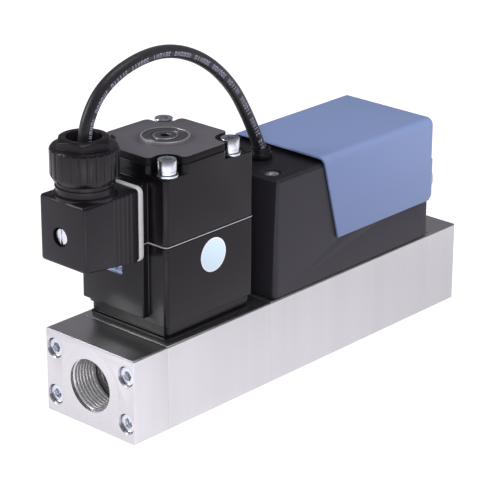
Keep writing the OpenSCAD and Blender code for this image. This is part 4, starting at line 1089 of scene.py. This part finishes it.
class FLOW_OT_coil(bpy.types.Operator):
    """Round the coil shells, their seal, the notched plate and what is turned on it"""

    bl_idname = "flow.coil"
    bl_label = "Coil"

    def execute(self, context):
        edges = context.scene.flow_edges
        for node in ("coil_housing_lower", "coil_housing_upper"):
            rounded_piece(node, edges.coil, segments=3)
        rounded_piece("coil_parting_seal", edges.fine)
        rounded_piece("coil_top_plate", edges.block)
        rounded_piece("coil_base_gasket", edges.fine)
        foot = (VALVE_X, 0.0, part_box("retaining_ring")[0].z)
        section = [(r * MM, z * MM) for r, z in RETAINING_RING]
        ring = turned_ring("retaining_ring", section, TURNED_SIDES, Matrix.Translation(foot))
        rings = [(size * MM, z * MM, *shape) for size, z, *shape in RETAINING_SCREW]
        screw = lathe("retaining_screw", rings, TURNED_SIDES, foot)
        for node, mesh in (("retaining_ring", ring), ("retaining_screw", screw)):
            mesh.materials.append(SURFACES["ground_steel"])
            place_piece(node + "_turned", mesh, node)
        rounded_piece("round_sticker", STICKER_EDGE * MM)
        return {"FINISHED"}


class FLOW_OT_spring(bpy.types.Operator):
    """Give the return spring a welded copy with a mesh of its own"""

    bl_idname = "flow.spring"
    bl_label = "Return spring"

    def execute(self, context):
        piece = place_piece("return_spring_wire", merged_copy("return_spring", "return_spring_wire"),
                            "return_spring")
        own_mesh(piece)
        return {"FINISHED"}


def box_into(work, low, high):
    """Adds an upright box between two corners"""
    made = bmesh.ops.create_cube(work, size=1.0)["verts"]
    for vertex in made:
        vertex.co = [low[k] if vertex.co[k] < 0 else high[k] for k in range(3)]
    return made


def without(mesh, cutter, name):
    """The mesh with the cutter's volume taken out of it"""
    body = linked(name + "_body", mesh)
    tool = linked(name + "_cutter", cutter)
    cut = body.modifiers.new("Cut", "BOOLEAN")
    cut.object = tool
    cut.operation = "DIFFERENCE"
    cut.solver = "EXACT"
    result = applied(body, name + "_cut")
    bpy.data.objects.remove(body)
    bpy.data.objects.remove(tool)
    return result


def plug_body(name, low, high, radius):
    """Block of the plug with round edges, square where it meets the gasket"""
    rise, end = PLUG_SLOPE_HIGH * MM, high.x - PLUG_SLOPE_END * MM
    side = [(low.x, low.z + rise), (end, low.z), (high.x, low.z), (high.x, high.z), (low.x, high.z)]
    work = bmesh.new()
    near = [work.verts.new((x, low.y, z)) for x, z in side]
    far = [work.verts.new((x, high.y, z)) for x, z in side]
    work.faces.new(near)
    work.faces.new(list(reversed(far)))
    join_rings(work, far, near)
    tiny = 0.001 * MM
    seated = [e for e in work.edges if all(v.co.x > end - tiny for v in e.verts)
              and abs(e.verts[0].co.x - e.verts[1].co.x) < tiny]
    bmesh.ops.bevel(work, geom=[e for e in work.edges if e not in seated], offset=radius,
                    segments=5, profile=0.5, affect="EDGES", clamp_overlap=False)
    bmesh.ops.recalc_face_normals(work, faces=work.faces)
    return plain_mesh(work, name + "_body")


def plug_cutter(name, low, high):
    """The hole over the plug's screw and the grooves across both sides"""
    work = bmesh.new()
    screw_low, screw_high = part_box("plug_screw")
    middle = (screw_low + screw_high) / 2
    radius = PLUG_HOLE_RADIUS * MM
    hole = bmesh.ops.create_cone(work, cap_ends=True, segments=HOLE_SIDES, radius1=radius,
                                 radius2=radius, depth=2 * PLUG_HOLE_DEPTH * MM)["verts"]
    bmesh.ops.transform(work, verts=hole, matrix=(
        Matrix.Translation((low.x, middle.y, middle.z)) @ Matrix.Rotation(math.pi / 2, 4, "Y")))
    half, over = GROOVE_WIDTH * MM / 2, 5 * MM
    for i in range(GROOVES):
        x = high.x - (FIRST_GROOVE + i * GROOVE_STEP) * MM
        for y in (low.y, high.y):
            made = box_into(work, (-half, -half, low.z - over), (half, half, high.z + over))
            bmesh.ops.transform(work, verts=made, matrix=(
                Matrix.Translation((x, y, 0.0)) @ Matrix.Rotation(math.pi / 4, 4, "Z")))
    return plain_mesh(work, name + "_cutter")


def plug_mesh(name, radius):
    """Plug with round edges, grooved sides, the hole over its screw and the neck under the nut"""
    gasket_low, gasket_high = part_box("plug_gasket")
    housing_low, housing_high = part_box("plug_housing")
    seat = PLUG_SEAT * MM
    low = Vector((housing_low.x, gasket_low.y + seat, gasket_low.z + seat))
    high = Vector((gasket_low.x, gasket_high.y - seat, gasket_high.z - seat))
    neck = [(r * MM, high.z + z * MM) for r, z in PLUG_NECK]
    neck += [(NECK_RADIUS * MM, housing_high.z), (NECK_BORE * MM, housing_high.z)]
    work = bmesh.new()
    work.from_mesh(without(plug_body(name, low, high, radius), plug_cutter(name, low, high), name))
    work.from_mesh(turned_ring(name + "_neck", neck, NECK_SIDES,
                               Matrix.Translation((GLAND_X, 0.0, 0.0))))
    for face in work.faces:
        face.smooth = True
    mesh = plain_mesh(work, name)
    mesh.set_sharp_from_angle(angle=PLUG_CREASE_FROM)
    return mesh


class FLOW_OT_plug(bpy.types.Operator):
    """Finish the plug, its gasket, its screw and the gland nut"""

    bl_idname = "flow.plug"
    bl_label = "Plug and gland"

    def execute(self, context):
        edges = context.scene.flow_edges
        place_piece("plug_shell", plug_mesh("plug_shell", edges.plug), "plug_housing")
        rounded_piece("plug_gasket", 2.5 * edges.fine)
        rounded_piece("gland_nut", edges.block)
        rounded_piece("plug_screw", edges.fine)
        return {"FINISHED"}


class FLOW_OT_label(bpy.types.Operator):
    """Put the pale label on the plug pad"""

    bl_idname = "flow.label"
    bl_label = "Pad label"

    def execute(self, context):
        pad_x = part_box("plug_gasket")[1].x
        work = bmesh.new()
        box_into(work, (pad_x - LABEL_SINKS * MM, LABEL_Y[0] * MM, LABEL_Z[0] * MM),
                 (pad_x + LABEL_STANDS * MM, LABEL_Y[1] * MM, LABEL_Z[1] * MM))
        corners = [e for e in work.edges if e.verts[0].co.y == e.verts[1].co.y
                   and e.verts[0].co.z == e.verts[1].co.z]
        bmesh.ops.bevel(work, geom=corners, offset=LABEL_CORNER * MM, segments=4, affect="EDGES",
                        profile=0.5)
        bmesh.ops.recalc_face_normals(work, faces=work.faces)
        mesh = plain_mesh(work, "pad_label")
        mesh.materials.append(label_film(context.scene.flow_colours))
        piece = linked("pad_label", mesh)
        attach(piece, body_of("coil_housing_lower"))
        return {"FINISHED"}


class FLOW_OT_housing(bpy.types.Operator):
    """Round the electronics housing, its gasket, the folded cover, the bush and the sockets"""

    bl_idname = "flow.housing"
    bl_label = "Electronics housing"

    def execute(self, context):
        edges = context.scene.flow_edges
        rounded_piece("electronics_housing", edges.housing, segments=3)
        rounded_piece("housing_gasket", edges.fine)
        rounded_piece("top_cover", edges.cover)
        bush = rounded_piece("cable_grommet", edges.coil)
        bush.data.materials[0] = SURFACES["plug_plastic"]
        for node in ("round_connector", "round_insert", "data_connector"):
            rounded_piece(node, edges.fine)
        return {"FINISHED"}


def smooth_route(points, steps):
    """Points on one smooth curve through the route"""
    line = [Vector((x * MM, 0.0, z * MM)) for x, z in points]
    padded = [2 * line[0] - line[1]] + line + [2 * line[-1] - line[-2]]
    curve = []
    for i in range(1, len(padded) - 2):
        a, b, c, d = padded[i - 1:i + 3]
        for k in range(steps):
            t = k / steps
            curve.append(0.5 * (2 * b + (c - a) * t + (2 * a - 5 * b + 4 * c - d) * t ** 2
                                + (3 * b - a - 3 * c + d) * t ** 3))
    curve.append(line[-1])
    return curve


def lead_mesh(name, path, reach, radius, sides):
    """Round lead along the path, with a UV map of the length along it and the turn about it"""
    work = bmesh.new()
    chart = work.loops.layers.uv.new("Jacket")
    rings = []
    for i, point in enumerate(path):
        ahead = (path[min(i + 1, len(path) - 1)] - path[max(i - 1, 0)]).normalized()
        inward = Vector((ahead.z, 0.0, -ahead.x))
        rings.append([work.verts.new(point + inward * (radius * math.cos(a))
                                     + Vector((0.0, radius * math.sin(a), 0.0)))
                      for a in round_angles(sides)])
    for i in range(len(rings) - 1):
        for k in range(sides):
            m = (k + 1) % sides
            face = work.faces.new((rings[i][k], rings[i][m], rings[i + 1][m], rings[i + 1][k]))
            face.smooth = True
            corners = ((i, k), (i, k + 1), (i + 1, k + 1), (i + 1, k))
            for loop, (ring, side) in zip(face.loops, corners):
                loop[chart].uv = (reach[ring], side / sides)
    work.faces.new(rings[0])
    work.faces.new(list(reversed(rings[-1])))
    bmesh.ops.recalc_face_normals(work, faces=work.faces)
    return plain_mesh(work, name)


class FLOW_OT_cable(bpy.types.Operator):
    bl_idname = "flow.cable"
    bl_label = "Lead"

    def execute(self, context):
        sizes = context.scene.flow_cable
        path = smooth_route(CABLE_ROUTE, sizes.steps)
        reach = [0.0]
        for a, b in zip(path, path[1:]):
            reach.append(reach[-1] + (b - a).length)
        mesh = lead_mesh("jumper_lead", path, reach, sizes.radius, sizes.sides)
        piece = place_piece("jumper_lead", mesh, "jumper_cable")
        2 * sizes.radius
        return {"FINISHED"}


def studio_white(glow):
    """A pale floor, white to the camera, whose mirror image changes from place to place"""
    s = Surface("studio_white")
    camera, gloss, through = s.light_path("Is Camera Ray", "Is Glossy Ray", "Is Transmission Ray")
    x, y = s.parts(s.place)[:2]
    slope = (GLOW_MIDDLE + GLOW_SLOPE * x).clamp()
    behind = y.ramp(*BEHIND_Y) * x.ramp(*BEHIND_X)
    within = x.ramp(*CORNER_END_X) * y.ramp(*CORNER_END_Y)
    corner = x.ramp(*CORNER_X) * y.ramp(*CORNER_Y) * within
    mirrored = glow * (GLOW_EVERYWHERE + slope + GLOW_BEHIND * behind + GLOW_CORNER * corner)
    strength = (camera + through) * 0.75 + gloss * mirrored
    diffuse = s.add("ShaderNodeBsdfDiffuse", {}, {"Color": (0.505, 0.488, 0.512)})
    light = s.add("ShaderNodeEmission", {}, {"Color": (1.0, 0.965, 1.03), "Strength": strength})
    both = s.add("ShaderNodeAddShader", {}, {0: diffuse, 1: light})
    s.add("ShaderNodeOutputMaterial", {}, {"Surface": both})
    return s.material


class FLOW_OT_stage(bpy.types.Operator):
    """Set the camera, the white floor, the lamps and the world"""

    bl_idname = "flow.stage"
    bl_label = "Studio"

    def execute(self, context):
        studio = context.scene.flow_studio
        self.camera(context, studio)
        self.floor(studio)
        self.lamps(studio)
        self.world(context, studio)
        context.scene.view_settings.view_transform = "Standard"
        return {"FINISHED"}

    def camera(self, context, studio):
        az, el, roll = studio.azimuth, studio.elevation, studio.roll
        back = Vector((math.sin(az) * math.cos(el), -math.cos(az) * math.cos(el), math.sin(el)))
        level_right = Vector((math.cos(az), math.sin(az), 0.0))
        level_up = back.cross(level_right)
        right = level_right * math.cos(roll) + level_up * math.sin(roll)
        up = level_up * math.cos(roll) - level_right * math.sin(roll)
        data = bpy.data.cameras.new("camera")
        data.lens = studio.lens
        data.sensor_width = 36.0
        data.clip_start = 0.01
        camera = linked("camera", data)
        turn = Matrix((right, up, back)).transposed().to_4x4()
        camera.matrix_world = Matrix.Translation(studio.camera_place) @ turn
        context.scene.camera = camera

    def floor(self, studio):
        mesh = bpy.data.meshes.new("studio_floor")
        half = FLOOR_HALF
        mesh.from_pydata([(-half, -half, 0), (half, -half, 0), (half, half, 0), (-half, half, 0)],
                         [], [(0, 1, 2, 3)])
        mesh.materials.append(studio_white(studio.floor_glow))
        floor = linked("studio_floor", mesh)

    def lamps(self, studio):
        for name, lamp in LAMPS.items():
            data = bpy.data.lights.new(name, "AREA")
            data.shape = "RECTANGLE"
            data.size, data.size_y = lamp.size
            data.energy = getattr(studio, name)
            one = linked(name, data)
            one.location = lamp.place
            one.visible_glossy = lamp.mirrored
            aim = Vector(lamp.aim) - Vector(lamp.place)
            one.rotation_euler = aim.to_track_quat("-Z", "Y").to_euler()

    def world(self, context, studio):
        world = bpy.data.worlds.new("studio")
        world.use_nodes = True
        world.node_tree.nodes.clear()
        g = Graph(world.node_tree)
        camera, gloss, through = g.light_path("Is Camera Ray", "Is Glossy Ray",
                                              "Is Transmission Ray")
        seen = camera + through
        level = seen + gloss * studio.dark_sky + (1 - seen - gloss) * studio.sky
        sky = g.add("ShaderNodeBackground", {}, {"Color": (1.0, 0.97, 1.05), "Strength": level})
        g.add("ShaderNodeOutputWorld", {}, {"Surface": sky})
        context.scene.world = world


class FLOW_PT_panel(bpy.types.Panel):
    """Sizes, colours and steps of the finish"""

    bl_label = "Flow controller"
    bl_idname = "FLOW_PT_panel"
    bl_space_type = "VIEW_3D"
    bl_region_type = "UI"
    bl_category = "Flow controller"

    def draw(self, context):
        for name in GROUPS:
            group = getattr(context.scene, name)
            box = self.layout.box()
            for setting in group.__annotations__:
                box.prop(group, setting)
        for operator in STEPS:
            self.layout.operator(operator.bl_idname)


GROUPS = {"flow_edges": EdgeSizes, "flow_fasteners": FastenerSizes, "flow_cable": CableSizes,
          "flow_colours": Colours, "flow_studio": StudioSettings}
STEPS = (FLOW_OT_stage, FLOW_OT_surfaces, FLOW_OT_cable, FLOW_OT_block, FLOW_OT_threads,
         FLOW_OT_screws, FLOW_OT_washers, FLOW_OT_coil, FLOW_OT_spring, FLOW_OT_plug,
         FLOW_OT_label, FLOW_OT_housing)


def register():
    for name, group in GROUPS.items():
        bpy.utils.register_class(group)
        setattr(bpy.types.Scene, name, PointerProperty(type=group))
    for operator in STEPS:
        bpy.utils.register_class(operator)
    bpy.utils.register_class(FLOW_PT_panel)


def unregister():
    bpy.utils.unregister_class(FLOW_PT_panel)
    for operator in reversed(STEPS):
        bpy.utils.unregister_class(operator)
    for name, group in GROUPS.items():
        delattr(bpy.types.Scene, name)
        bpy.utils.unregister_class(group)


def main():
    register()
    for operator in STEPS:
        group, name = operator.bl_idname.split(".")
        getattr(getattr(bpy.ops, group), name)()


if __name__ == "__main__":
    main()
